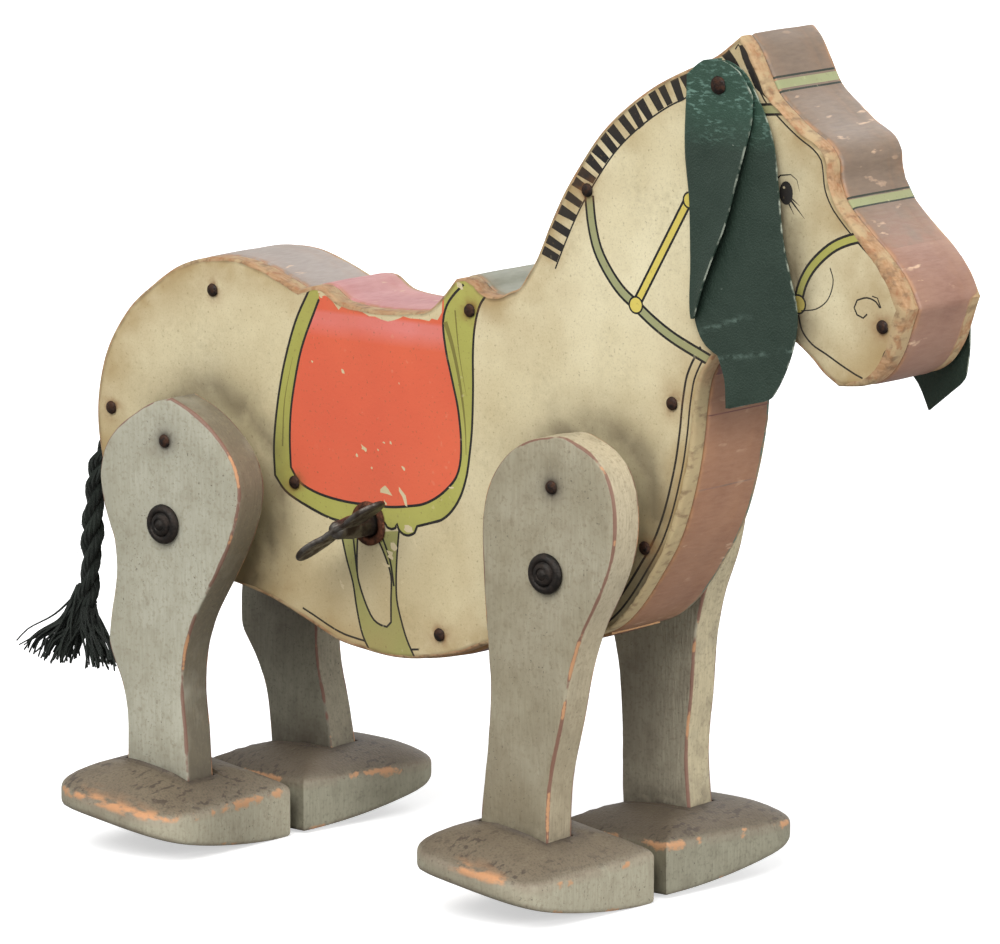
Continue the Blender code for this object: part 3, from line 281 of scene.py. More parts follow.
bm = bmesh.new()
rope_end = rope_line[-1]
for (end_x, end_z), count in LOCKS:
    lock_y = shuffle.uniform(-4.5, 4.5)
    for number in range(count * 2):
        start_x = shuffle.uniform(-1.8, 1.8)
        start_y = shuffle.uniform(-1.8, 1.8)
        start = rope_end + Vector((start_x, start_y, shuffle.uniform(-0.5, 5)))
        end = strayed(end_x, lock_y, end_z, 1.1, 1.0, -0.4, 2.6)
        bulge_x = shuffle.gauss(-0.12 * (end_x - FAN_MIDDLE), 0.7)
        middle = start.lerp(end, 0.5) + Vector((bulge_x, shuffle.gauss(0, 0.8), 0))
        low_middle = start.lerp(end, 0.8) + strayed(0, 0, 0, 0.6, 0.6, 0, 0.8)
        line = curve([start, middle, low_middle, end], 2.5)
        tube(bm, line, [0.42 - 0.22 * i / len(line) for i in range(len(line))], 4)
for number in range(STRAY_FIBRES):
    start = rope_line[shuffle.randrange(6, len(rope_line) - 2)]
    out = Vector((shuffle.gauss(0, 1), shuffle.gauss(0, 1), shuffle.gauss(0, 0.6))).normalized()
    end = start + out * shuffle.uniform(3.6, 5.2) + Vector((0, 0, -1.5))
    tube(bm, curve([start, start + out * 2.6, end], 1.0), [0.09] * 12, 3)
tail_brush = piece("tail_brush_frayed", bm, [yarn], "rope", "tail_brush")


# Stage: a white floor that keeps the toy's shadow, in an even white surrounding. The main lamp is wide
# and soft, high beside the camera, and a weaker one is to the camera's left. A narrower one shines on
# the mule's chest from the right, and a faint one comes from beyond the mule.
floor_finish, tree, shader, place = finish("white_floor", 0.9)
seen = node(tree, "ShaderNodeLightPath", output="Is Camera Ray")
floor_colour = layered(tree, (0.33, 0.33, 0.33, 1), (seen, (0.8, 0.8, 0.8, 1)))
tree.links.new(floor_colour, shader.inputs["Base Color"])
shader.inputs["Emission Color"].default_value = (1, 1, 1, 1)
glow = node(tree, "ShaderNodeMath", {0: seen, 1: 0.55}, operation="MULTIPLY")
tree.links.new(glow, shader.inputs["Emission Strength"])
bm = bmesh.new()
corners = [bm.verts.new((9 * x, 9 * y, -0.0001)) for x, y in ((-1, -1), (1, -1), (1, 1), (-1, 1))]
bm.faces.new(corners)
floor_mesh = bpy.data.meshes.new("floor")
bm.to_mesh(floor_mesh)
bm.free()
floor_mesh.materials.append(floor_finish)
floor = bpy.data.objects.new("floor", floor_mesh)
bpy.context.scene.collection.objects.link(floor)

world = bpy.data.worlds.new("white_surrounding")
bpy.context.scene.world = world
world.use_nodes = True
tree = world.node_tree
seen, mirrored, through = (node(tree, "ShaderNodeLightPath", output=ray)
                           for ray in ("Is Camera Ray", "Is Glossy Ray", "Is Transmission Ray"))
seen = node(tree, "ShaderNodeMath", {0: seen, 1: mirrored}, operation="MAXIMUM")
seen = node(tree, "ShaderNodeMath", {0: seen, 1: through}, operation="MAXIMUM")
level = node(tree, "ShaderNodeMapRange", {"Value": seen, "To Min": 0.22, "To Max": 1.0})
tree.links.new(level, tree.nodes["Background"].inputs["Strength"])
tree.nodes["Background"].inputs["Color"].default_value = (1, 1, 1, 1)
LAMPS = [("key", (0.35, -0.8, 0.85), 0.76, 40), ("fill", (-0.35, -0.8, 0.8), 0.26, 40),
         ("front", (0.95, -0.02, 0.3), 0.64, 16), ("back", (-0.2, 0.85, 0.55), 0.24, 40)]
for name, source, strength, spread in LAMPS:
    lamp = bpy.data.lights.new(name, "SUN")
    lamp.energy = strength * math.pi
    lamp.angle = math.radians(spread)
    item = bpy.data.objects.new(name, lamp)
    item.rotation_euler = Vector(source).to_track_quat("Z", "Y").to_euler()
    bpy.context.scene.collection.objects.link(item)
bpy.context.scene.view_settings.view_transform = "Standard"


# Side boards: sawn 3/16 in wood with a printed sheet glued on the outer face, cut with the board. The
# edges are rounded and chipped by handling, so the paper ends a little inside them. Nails hold them.

# The y sign of each side, the boards' faces and the legs' outer face, in mm from the middle plane, and
# the ears' nails, since the right ear's sweep soils the paper and its shadow is painted there.
RIGHT = -1
LEFT = 1
INNER = 9.525
OUTER = 14.325
LEG_OUT = 30.3
EAR_PINS = {RIGHT: (70.56, 196.42), LEFT: (74.61, 188.36)}


def loops_of(name, out):
    """The outlines of a CAD piece's flat face at a y in mm, longest first, anticlockwise in (x, z)."""
    item = frame["nodes"][name]
    bm = bmesh.new()
    bm.from_mesh(item.data)
    bmesh.ops.remove_doubles(bm, verts=bm.verts, dist=1e-6)
    bm.verts.index_update()
    bm.verts.ensure_lookup_table()
    beside = {}
    for edge in bm.edges:
        flat = all(abs(v.co.y - out * MM) < 3e-5 for v in edge.verts)
        if flat and any(abs(face.normal.y) < 0.5 for face in edge.link_faces):
            a, b = (v.index for v in edge.verts)
            beside.setdefault(a, []).append(b)
            beside.setdefault(b, []).append(a)
    loops = []
    while beside:
        here = min(beside)
        loop = []
        while here is not None:
            loop.append((bm.verts[here].co.x / MM, bm.verts[here].co.z / MM))
            here = next((v for v in beside.pop(here) if v in beside), None)
        if sum(a[0] * b[1] - b[0] * a[1] for a, b in zip(loop, loop[1:] + loop[:1])) < 0:
            loop.reverse()
        loops.append(loop)
    bm.free()
    return sorted(loops, key=lambda loop: -sum(math.dist(a, b) for a, b in zip(loop, loop[1:])))


def evened(loop, spacing):
    """A CAD outline as a smooth curve, without the points that lie nearly on the one before."""
    line = curve(loop, spacing, closed=True)
    return [p for i, p in enumerate(line) if (p - line[i - 1]).length > 0.3]


def grown(loop, distance):
    """An anticlockwise loop moved outward, by one distance or by one for each point."""
    spots = [Vector(p) for p in loop]
    moved = []
    for i, spot in enumerate(spots):
        first = (spot - spots[i - 1]).normalized()
        second = (spots[(i + 1) % len(spots)] - spot).normalized()
        way = Vector((first.y + second.y, -first.x - second.x)).normalized()
        lean = max(0.5, way.dot(Vector((first.y, -first.x))))
        moved.append(spot + way * ((distance[i] if isinstance(distance, list) else distance) / lean))
    return moved


def anticlockwise(loop):
    """A loop as a list that runs anticlockwise."""
    turn = sum(a[0] * b[1] - b[0] * a[1] for a, b in zip(loop, [*loop[1:], loop[0]]))
    return list(loop) if turn > 0 else list(loop)[::-1]


def filled(bm, ring, holes, shapes, spacing, place_at, extra=()):
    """Fills a ring of mesh corners with triangles, leaves holes, and gives each shape its own finish."""
    points = [Vector(p) for p, corner in ring]
    groups = [list(range(len(points)))]
    inks = [0]
    for ink, loop in [(-1, hole) for hole in holes] + list(shapes):
        groups.append(list(range(len(points), len(points) + len(loop))))
        inks.append(ink)
        points += [Vector(p) for p in anticlockwise(loop)]
    points += [Vector(p) for p in extra]
    if spacing:
        low_x, high_x = min(p.x for p in points), max(p.x for p in points)
        low_z, high_z = min(p.y for p in points), max(p.y for p in points)
        rim = KDTree(len(ring))
        for i, (p, corner) in enumerate(ring):
            rim.insert((p[0], p[1], 0), i)
        rim.balance()
        for row in range(int((high_z - low_z) / spacing) + 1):
            for column in range(int((high_x - low_x) / spacing) + 1):
                spot = Vector((low_x + column * spacing, low_z + row * spacing))
                if rim.find((spot.x, spot.y, 0))[2] > spacing * 0.4:
                    points.append(spot)
    verts, edges, faces, verts_from, edges_from, faces_from = delaunay_2d_cdt(points, [], groups, 1, 1e-4)
    corners = {}
    for face, sources in zip(faces, faces_from):
        if 0 not in sources or any(inks[source] == -1 for source in sources):
            continue
        loop = []
        for index in face:
            if index not in corners:
                own = [i for i in verts_from[index] if i < len(ring)]
                corners[index] = ring[own[0]][1] if own else place_at(verts[index])
            loop.append(corners[index])
        if len(set(loop)) == 3:
            made = bm.faces.new(loop)
            made.material_index = inks[max(sources)]
    return corners


def slab(bm, side, outline, low, high, profile, holes=(), shapes=(), spacing=0, edge_finish=0,
         back_finish=0, edge_reach=5, nails=(), shade_and_dirt_spots=()):
    """A board between two distances from the middle plane. The profile gives its rounded edge as
    (inset, drop, wear) from the face; an inset may be a list with one value for each point. Dirt
    gathers near the nails, dirt and painted shade near the given spots, and the edge shows
    edge_reach mm inward."""
    layers = bm.verts.layers.float
    wear, edge, rust, grime = (layers.get(name) or layers.new(name)
                               for name in ("wear", "edge", "rust", "grime"))
    rings_round = [(x + r * math.cos(0.7 * i), z + r * math.sin(0.7 * i))
                   for x, z in nails for r in (1.9, 2.7, 3.8, 5.5) for i in range(9)]
    rim = KDTree(len(outline))
    for i, p in enumerate(outline):
        rim.insert((p[0], p[1], 0), i)
    rim.balance()
    shade_and_dirt_tree = KDTree(len(shade_and_dirt_spots))
    for i, p in enumerate(shade_and_dirt_spots):
        shade_and_dirt_tree.insert((p[0], p[1], 0), i)
    shade_and_dirt_tree.balance()

    def corner(p, out, worn):
        vert = bm.verts.new((p[0] * MM, side * out * MM, p[1] * MM))
        vert[wear] = worn
        vert[edge] = math.exp(-rim.find((p[0], p[1], 0))[2] / edge_reach)
        vert[grime] = math.exp(-shade_and_dirt_tree.find((p[0], p[1], 0))[2] / 4.5) if shade_and_dirt_spots else 0
        vert[rust] = max([math.exp(-max(0, math.dist(p, spot) - 1.5) / 1.3) for spot in nails], default=0)
        return vert

    steps = [(inset, high - drop, worn) for inset, drop, worn in profile]
    steps += [(inset, low + drop, worn) for inset, drop, worn in profile[::-1]]
    rings = []
    for inset, out, worn in steps:
        inward = [-value for value in inset] if isinstance(inset, list) else -inset
        rings.append([(p, corner(p, out, worn)) for p in grown(outline, inward)])
    count = len(outline)
    for first, second in zip(rings, rings[1:]):
        for i in range(count):
            j = (i + 1) % count
            made = bm.faces.new((first[i][1], first[j][1], second[j][1], second[i][1]))
            made.material_index = edge_finish
    filled(bm, rings[0], holes, shapes, spacing, lambda p: corner(p, high, 0), rings_round)
    before = set(bm.faces)
    filled(bm, rings[-1], holes, (), 0, lambda p: corner(p, low, profile[0][2]))
    for made in set(bm.faces) - before:
        made.material_index = back_finish
    for hole in holes:
        walls = [[corner(p, out, 0.3) for p in hole] for out in (high, low)]
        for i in range(len(hole)):
            made = bm.faces.new((walls[0][i - 1], walls[0][i], walls[1][i], walls[1][i - 1]))
            made.material_index = back_finish
    bmesh.ops.recalc_face_normals(bm, faces=bm.faces)


def stroke(points, width, spacing=1.5, taper=False):
    """A drawn line as a closed outline of the given width in mm."""
    line = curve(points, spacing)
    left, right = [], []
    for i, spot in enumerate(line):
        run = (line[min(i + 1, len(line) - 1)] - line[max(i - 1, 0)]).normalized()
        half = width / 2 * (1 - 0.85 * i / (len(line) - 1) if taper else 1)
        left.append(spot + Vector((-run.y, run.x)) * half)
        right.append(spot - Vector((-run.y, run.x)) * half)
    return right + left[::-1]


def disc(centre, across, up=None, sides=18):
    """A round outline, or an oval one."""
    turns = [2 * math.pi * i / sides for i in range(sides)]
    return [(centre[0] + across * math.cos(a), centre[1] + (up or across) * math.sin(a)) for a in turns]


def stretch(loop, start, end, inset):
    """The shorter part of a loop between the points nearest to start and end, moved inward."""
    spots = grown(loop, -inset)
    first = min(range(len(loop)), key=lambda i: math.dist(loop[i], start))
    last = min(range(len(loop)), key=lambda i: math.dist(loop[i], end))
    if (last - first) % len(loop) > len(loop) / 2:
        first, last = last, first
    return [spots[i % len(loop)] for i in range(first, first + (last - first) % len(loop) + 1)]


# Inks: the sheet is printed in flat colours, each inside a dark line
PAPER, RED, GREEN, PALE, YELLOW, LINE, FLAKE, EDGE, BOARD, SHADE, GIRTH_GREEN = range(11)


def printed(name, ink, stained, worn=0.35, aged=0.95, pink=False):
    """Lithographed paper, varnished and old: half matt, its ink flat and pure, with brown stains, fly
    specks and fine dirt, brown edges, rust round the nails, dirt with painted shade beside the legs and
    the right ear, and spots where the ink is rubbed off. Worn is how much ink has gone, aged how brown it
    is, and pink a paler pink band below the seat's top."""
    material, tree, shader, place = finish(name, 0.52)
    edge, grime, rust = (node(tree, "ShaderNodeAttribute", output="Fac", attribute_name=layer)
                         for layer in ("edge", "grime", "rust"))
    if pink:
        band = (fade(tree, place, "Z", 126.5, 130.5), fade(tree, place, "Z", 133.5, 132.5))
        ink = layered(tree, ink, (*band, 0.85, tone("E48A86")))
    border = node(tree, "ShaderNodeMapRange", {"Value": edge, "From Min": 0.86, "From Max": 0.94})
    low = fade(tree, place, "Z", 150, 55, 0.62 * aged)
    muzzle = fade(tree, place, "X", 94, 118, 0.75 * aged)
    colour = layered(
        tree, ink,
        (blotches(tree, place, 34, 0.4, 0.72, 0.7), stained),
        (blotches(tree, place, 9, 0.5, 0.75, 0.35), stained),
        (low, blotches(tree, place, 45, 0.25, 0.6), tone("A08A60")),
        (blotches(tree, place, 2.4, 0.66, 0.7, worn), blotches(tree, place, 20, 0.4, 0.6), tone("DCCFA8")),
        (blotches(tree, place, 0.8, 0.62, 0.74, 0.5), tone("6F5B3E")),
        (blotches(tree, place, 0.45, 0.5, 0.8, 0.28 * aged), tone("8E7A55")),
        (blotches(tree, place, 16, 0.45, 0.72, 0.38 * aged), blotches(tree, place, 1.6, 0.35, 0.7),
         tone("978B69")),
        (muzzle, blotches(tree, place, 10, 0.3, 0.62), tone("A0865C")),
        (edge, blotches(tree, place, 11, 0.2, 0.62, min(1, 1.1 * aged)), tone("A58A5C")),
        (border, blotches(tree, place, 5, 0.3, 0.55, 0.75), tone("65523A")),
        # Dirt and painted shade beside the legs, and the right ear's painted shadow with dirt beside its
        # front edge
        (grime, blotches(tree, place, 9, 0.1, 0.55, 0.95 * min(1, 2 * aged)), tone("5E5340")),
        (rust, blotches(tree, place, 3, 0.35, 0.6, 0.85), tone("8A5E38")))
    coat(tree, shader, colour, blotches(tree, place, 0.7, 0.3, 0.7), 0.02)
    shader.inputs["Specular IOR Level"].default_value = 0.22
    return material


def bare_wood(name, light, dark):
    """Pine, sawn and left bare: matt, its grain 0.9 mm wide and drawn out along the toy, with dirt."""
    material, tree, shader, place = finish(name, 0.75)
    grain = blotches(tree, place, 0.9, 0.35, 0.65, stretch=(0.12, 1, 1))
    colour = layered(tree, tone(light), (grain, tone(dark)),
                     (blotches(tree, place, 5, 0.5, 0.75, 0.6), tone("7C6348")))
    coat(tree, shader, colour, grain, 0.04)
    return material


def worn_edge(name):
    """The rounded edge of a papered board: bare wood, brown where it is handled most, with torn paper
    left on it. At the mule's chest the sheet still covers it."""
    material, tree, shader, place = finish(name, 0.7)
    torn = blotches(tree, place, 6, 0.42, 0.56)
    colour = layered(
        tree, tone("B08C68"),
        (blotches(tree, place, 0.8, 0.35, 0.65, stretch=(0.15, 1, 1)), tone("9C7650")),
        (torn, 0.8, tone("B09A74")),
        (blotches(tree, place, 2.4, 0.56, 0.66, 0.6), tone("94603C")),
        (fade(tree, place, "X", 30, 36), fade(tree, place, "Z", 132, 124, 0.85), tone("AD9C75")),
        (blotches(tree, place, 1.6, 0.52, 0.68, 0.6, stretch=(1, 0.4, 1)), tone("6A5038")))
    coat(tree, shader, colour, torn, 0.1)
    return material


print_finishes = [
    printed("cream_printed_paper", tone("EAE0BC"), tone("CFC096")),
    printed("red_ink_on_paper", tone("E2694B"), tone("D65F46"), 0.1, 0.1, pink=True),
    printed("green_ink_on_paper", tone("B4B45F"), tone("9A9648"), 0.3, 0.3),
    printed("pale_green_ink_on_paper", tone("9FA277"), tone("8C8C5E"), 0.3, 0.3),
    printed("yellow_ink_on_paper", tone("DDCB66"), tone("C6AE52"), 0.2, 0.3),
    printed("black_ink_on_paper", tone("1C1D20"), tone("2A2724"), 0.2, 0.05),
    printed("torn_paper", tone("DCCFAB"), tone("CBB98C"), 0.2, 0.3),
    worn_edge("worn_board_edge"),
    bare_wood("bare_board", "C79E6F", "AE8355"),
    printed("olive_shading_on_paper", tone("7F7C3C"), tone("6F6A35"), 0.3, 0.3),
    printed("girth_green_ink_on_paper", tone("9DA063"), tone("939050"), 0.3, 0.4),
]

# The saddle's cloth, with two scallops at its lower edge, and the red seat on it with its torn top
SADDLE_CLOTH = [(-53.4, 137.6), (-57.5, 130.0), (-61.0, 120.0), (-62.9, 112.0), (-64.3, 102.7),
                (-64.6, 97.8), (-64.3, 91.7), (-61.2, 88.4), (-55.9, 85.9), (-47.8, 83.4),
                (-42.5, 82.8), (-34.1, 83.6), (-30.2, 84.0), (-29.4, 83.0), (-28.1, 82.7),
                (-26.9, 83.1), (-26.4, 84.2), (-25.8, 82.8), (-24.4, 81.9), (-22.7, 81.8),
                (-21.0, 82.6), (-20.2, 84.3), (-18.2, 84.9), (-15.6, 85.7), (-12.9, 86.6),
                (-9.9, 88.9), (-7.2, 92.6), (-5.3, 97.5), (-4.1, 104.3), (-3.5, 109.9), (-3.2, 118.7),
                (-3.2, 128.2), (-2.6, 134.1), (-1.1, 139.0), (1.0, 141.6), (2.8, 142.9)]
CLOTH_OVER_GIRTH = slice(8, 25)
SADDLE_TOP = [(1.9, 150), (-6, 150)]
SEAT_RED = [(-50.3, 135.7), (-55.6, 123.9), (-57.6, 116.7), (-59.2, 108.1), (-59.6, 100.8),
            (-59.3, 94.2), (-56.8, 91.1), (-53.4, 89.5), (-48.7, 88.4), (-41.5, 87.7), (-34.7, 87.8),
            (-28.2, 88.0), (-22.4, 88.9), (-18.4, 89.8), (-14.5, 91.7), (-11.4, 94.0), (-8.4, 97.2),
            (-7.2, 100.4), (-6.8, 105.2), (-7.7, 113.5), (-9.5, 120.4), (-11.4, 127.4), (-12.2, 134.2)]
SEAT_RED_TOP = [(-12.0, 150), (-50.3, 150)]
SEAT_TORN = [(-50.6, 137.2), (-49.2, 136.9), (-46.9, 136.4), (-45.4, 134.9), (-44.2, 133.7),
             (-43.0, 134.9), (-42.4, 135.6), (-40.9, 134.9), (-39.1, 134.1), (-36.9, 133.9),
             (-34.8, 133.1), (-33.0, 133.2), (-31.2, 132.7), (-29.0, 132.4), (-27.1, 132.9),
             (-25.2, 133.6), (-24.4, 134.1), (-22.3, 133.8), (-18.9, 133.9), (-16.4, 133.7),
             (-15.7, 134.4), (-13.9, 134.2), (-12.6, 136.1), (-12.4, 140), (-51, 150)]
GIRTH = [(-43.7, 80), (-41.9, 73.6), (-40.1, 68.5), (-38.8, 61.9), (-37.0, 55.8), (-34.2, 51.5)]
GIRTH_FRONT = [(-20.4, 51.5), (-23.4, 56.5), (-25.2, 61.1), (-26.5, 65.8), (-26.7, 70.6),
               (-26.4, 76.7), (-25.8, 82.5)]
GIRTH_GAP = [(-38.5, 81), (-38.8, 73.5), (-38.5, 69.7), (-35.7, 63.0), (-33.6, 60.1), (-31.4, 59.1),
             (-29.6, 58.9), (-28.3, 60.2), (-28.3, 65.6), (-28.3, 71.4), (-30.1, 76.0), (-33.0, 81)]
GIRTH_FOLDS = [[(-40.0, 80), (-38.8, 71.1)], [(-31.2, 81), (-28.6, 75.2), (-27.4, 69)]]
# The bridle's straps and the mane's forelock
CHEEK_STRAP = [(44.9, 143.4), (59.5, 168.3)]
BROW_STRAP = [(80, 191.3), (89, 192.2)]
NECK_STRAP = [(31.2, 167.5), (32.1, 160.8), (33.8, 155.2), (37.1, 150.1), (40.9, 146.1), (44.9, 143.4),
              (49.6, 140.2), (55.4, 137.0), (66.5, 132.6)]
NOSEBAND = [(110.5, 165.3), (105.5, 164.0), (101.3, 162.2), (97.7, 159.6), (94.4, 156.2),
            (92.3, 152.6), (91.2, 149.0)]
BUCKLES = [((44.9, 143.4), 1.7), ((60.3, 169.0), 1.6), ((91.1, 148.0), 1.9)]
FORELOCK = [[(68.4, 203.3), (71.0, 204.6), (73.3, 202.1), (75.8, 198.6), (78.4, 195.2), (75.8, 196.4),
             (73.0, 199.8)],
            [(74.1, 205.4), (76.9, 206.2), (78.2, 204.2), (79.4, 201.2), (80.9, 197.7), (85.4, 192.6),
             (82.3, 193.8), (78.7, 196.1), (76.7, 199.6), (75.0, 202.7)]]
MANE_ENDS = [(16, 152), (66, 202)]
MANE_STEP = 3.75
# Spots where the print is torn off, each with its half width and half height
TORN_SPOTS = [((-29.8, 91.6), 1.7, 1.1), ((-24.5, 91.2), 0.7, 2.1), ((-36.5, 101.3), 0.9, 0.8),
              ((-38.7, 99.4), 0.5, 0.5), ((-24.5, 97.8), 0.5, 0.9), ((-27.0, 78.3), 1.3, 1.0),
              ((-28.4, 76.3), 1.2, 1.0), ((-29.8, 73.9), 0.9, 0.5), ((-22.8, 83.3), 1.5, 0.8),
              ((-34.1, 96.8), 0.3, 0.3), ((-32.2, 101.3), 0.3, 0.3), ((-30.3, 103.2), 0.4, 0.3),
              ((-28.2, 103.4), 0.4, 0.4), ((-42.9, 118.9), 0.5, 0.6), ((-52.5, 120.4), 0.3, 0.3),
              ((-9.6, 94.7), 0.8, 0.3), ((-47.4, 82.6), 0.9, 0.6), ((-25.7, 118.0), 0.2, 0.3),
              ((-20.9, 80.1), 0.4, 1.2), ((-19.4, 79.2), 0.4, 0.5), ((-43.5, 67.4), 0.6, 0.9),
              ((-7.2, 142.9), 0.9, 0.8), ((-1.8, 143.2), 0.8, 0.6), ((-49.6, 136.7), 0.8, 0.7),
              ((-30, 88.8), 0.4, 0.8)]
# The eye, with its lid and the folds below it, then the lines of cheek, jaw, nostril and lips
EYE = (87.6, 173.0)
EYE_LINES = [([(84.6, 175.6), (86.0, 176.9), (88.9, 177.3), (90.6, 176.2), (91.4, 173.6)], 0.45),
             ([(88.4, 172.0), (90.7, 169.7), (92.8, 167.6)], 0.6), ([(88.4, 172.4), (91.4, 170.4)], 0.5),
             ([(88.0, 171.2), (89.9, 168.2)], 0.5)]
MUZZLE_LINES = [([(100.0, 157.1), (100.9, 154.5), (100.3, 151.5), (99.0, 149.3), (96.2, 147.4),
                  (92, 146.6)], 0.3),
                ([(91.3, 145.6), (92.3, 142.2), (95.1, 139.3), (99.1, 137.4), (103.6, 135.2),
                  (107.5, 133.5), (109.3, 132.9)], 0.45),
                ([(113.9, 149.3), (112.8, 150.6), (110.3, 151.3), (107.6, 150.5), (106.8, 148.7),
                  (107.6, 147.2), (109.3, 146.6), (110.4, 147.6)], 0.4),
                ([(111.7, 151.8), (113.2, 151.5), (114.2, 149.3)], 0.3),
                ([(117.6, 141.6), (115.4, 139.5), (114.1, 136.2)], 0.4)]
# Lines that follow the board's edge, each with its two ends, its distance inside and its width
BORDERS = [((72, 207), (121.3, 149), 1.7, 0.4), ((66, 134), (36, 65), 1.9, 0.5),
           ((66, 134), (36, 65), 4.1, 0.6), ((-57, 58), (-20, 52), 2.3, 0.5)]
SADDLE_SHADES = [([(-11.6, 134), (-9.6, 129), (-7.2, 120), (-5.6, 110), (-5.3, 103)], 1.3),
                 ([(-8.6, 137), (-7.4, 127), (-5.2, 117)], 0.5),
                 ([(-61.9, 99), (-61.2, 110), (-58.6, 121)], 0.5)]
OUTLINE = 0.65
THIN_OUTLINE = 0.55


def mane(outline, chance):
    """The mane's dark patches, side by side along the neck's edge, cut a little unevenly."""
    neck = curve(stretch(outline, *MANE_ENDS, 0.9)[::6], 1.0)
    patches = []
    total = 0
    patch_at = 1.0
    for i in range(1, len(neck) - 1):
        total += (neck[i] - neck[i - 1]).length
        if total > patch_at:
            patch_at += MANE_STEP + chance.uniform(-0.35, 0.35)
            run = (neck[i + 1] - neck[i - 1]).normalized()
            depth = 5.0 + chance.uniform(-0.3, 0.3)
            deep = Vector((-run.y, run.x)) * depth + run * chance.uniform(-0.9, 0.1)
            near = run * (1.2 + chance.uniform(-0.15, 0.15))
            far = run * (0.95 + chance.uniform(-0.1, 0.1))
            patches.append([neck[i] - near, neck[i] + near, neck[i] + deep + far, neck[i] + deep - far])
    return patches


def flake(spot, wide, high, chance):
    """The outline of a torn spot: nine corners at uneven reaches, leaning with the print."""
    loop = []
    for i in range(9):
        a = 2 * math.pi * i / 9
        reach = chance.uniform(0.4, 1.35)
        across = wide * math.cos(a) - 0.45 * high * math.sin(a)
        loop.append((spot[0] + across * reach, spot[1] + high * math.sin(a) * reach))
    return loop


def design(outline):
    """What is printed on a side board, from the bottom layer up, as (ink, outline)."""
    chance = random.Random(11)
    shapes = []

    def band(points, width, ink, line=0.6):
        """A strap between two dark lines."""
        shapes.append((LINE, stroke(points, width + 2 * line)))
        shapes.append((ink, stroke(points, width)))

    for start, end, inset, width in BORDERS:
        shapes.append((LINE, stroke(stretch(outline, start, end, inset)[::3], width)))
    shapes += [(LINE, patch) for patch in mane(outline, chance)]
    shapes.append((LINE, stroke(stretch(outline, *MANE_ENDS, 5.9)[::5], 0.4)))
    shapes += [(LINE, wedge) for wedge in FORELOCK]

    shapes.append((GREEN, curve(SADDLE_CLOTH, 2)[:-1] + SADDLE_TOP + SEAT_RED_TOP[1:]))
    shapes.append((LINE, stroke(SADDLE_CLOTH, OUTLINE, 0.8)))
    shapes.append((RED, curve(SEAT_RED, 2)[:-1] + SEAT_RED_TOP))
    shapes.append((FLAKE, SEAT_TORN))
    shapes.append((LINE, stroke(SEAT_RED + [(-11.0, 138.1), (-8.6, 141.1), (-6, 143.4)], OUTLINE)))
    shapes += [(SHADE, stroke(line, width, 2, taper=True)) for line, width in SADDLE_SHADES]
    shapes.append((GIRTH_GREEN, curve(GIRTH, 2) + curve(GIRTH_FRONT, 2)))
    shapes.append((PAPER, curve(GIRTH_GAP, 2)))
    shapes += [(LINE, stroke(line, THIN_OUTLINE)) for line in (GIRTH, GIRTH_FRONT, GIRTH_GAP, *GIRTH_FOLDS)]
    cloth_edge = SADDLE_CLOTH[CLOTH_OVER_GIRTH]
    shapes.append((GREEN, curve(cloth_edge, 1)
                   + [(-18.4, 88.4), (-28.2, 86.9), (-41.5, 86.6), (-53.4, 88.2)]))
    shapes.append((LINE, stroke(cloth_edge, OUTLINE, 0.8)))

    band(CHEEK_STRAP, 1.5, YELLOW)
    band(NECK_STRAP, 1.7, PALE)
    band(BROW_STRAP, 1.7, PALE)
    band(NOSEBAND, 1.5, GREEN)
    for centre, size in BUCKLES:
        shapes.append((LINE, disc(centre, size + 0.45)))
        shapes.append((YELLOW, disc(centre, size)))

    shapes.append((LINE, disc(EYE, 1.9, 2.7)))
    shapes.append((FLAKE, disc((EYE[0] - 0.6, EYE[1] + 1.2), 0.35, 0.3, 8)))
    shapes += [(LINE, stroke(line, width, 1, taper=True)) for line, width in EYE_LINES]
    shapes += [(LINE, stroke(line, width, 1)) for line, width in MUZZLE_LINES]
    shapes += [(FLAKE, flake(spot, wide, high, chance)) for spot, wide, high in TORN_SPOTS]
    return shapes


# Where the nails stand, seen from the right
NAILS = {"croup": (-83.57, 134.77), "rump": (-116.49, 102.75), "withers": (-4.01, 137.46),
         "belly": (-13.27, 59.04), "breast": (55.66, 121.66), "chest": (47.89, 87.06),
         "neck": (30.86, 168.82), "nose": (114.82, 145.13), "motor": (-58, 90.7)}
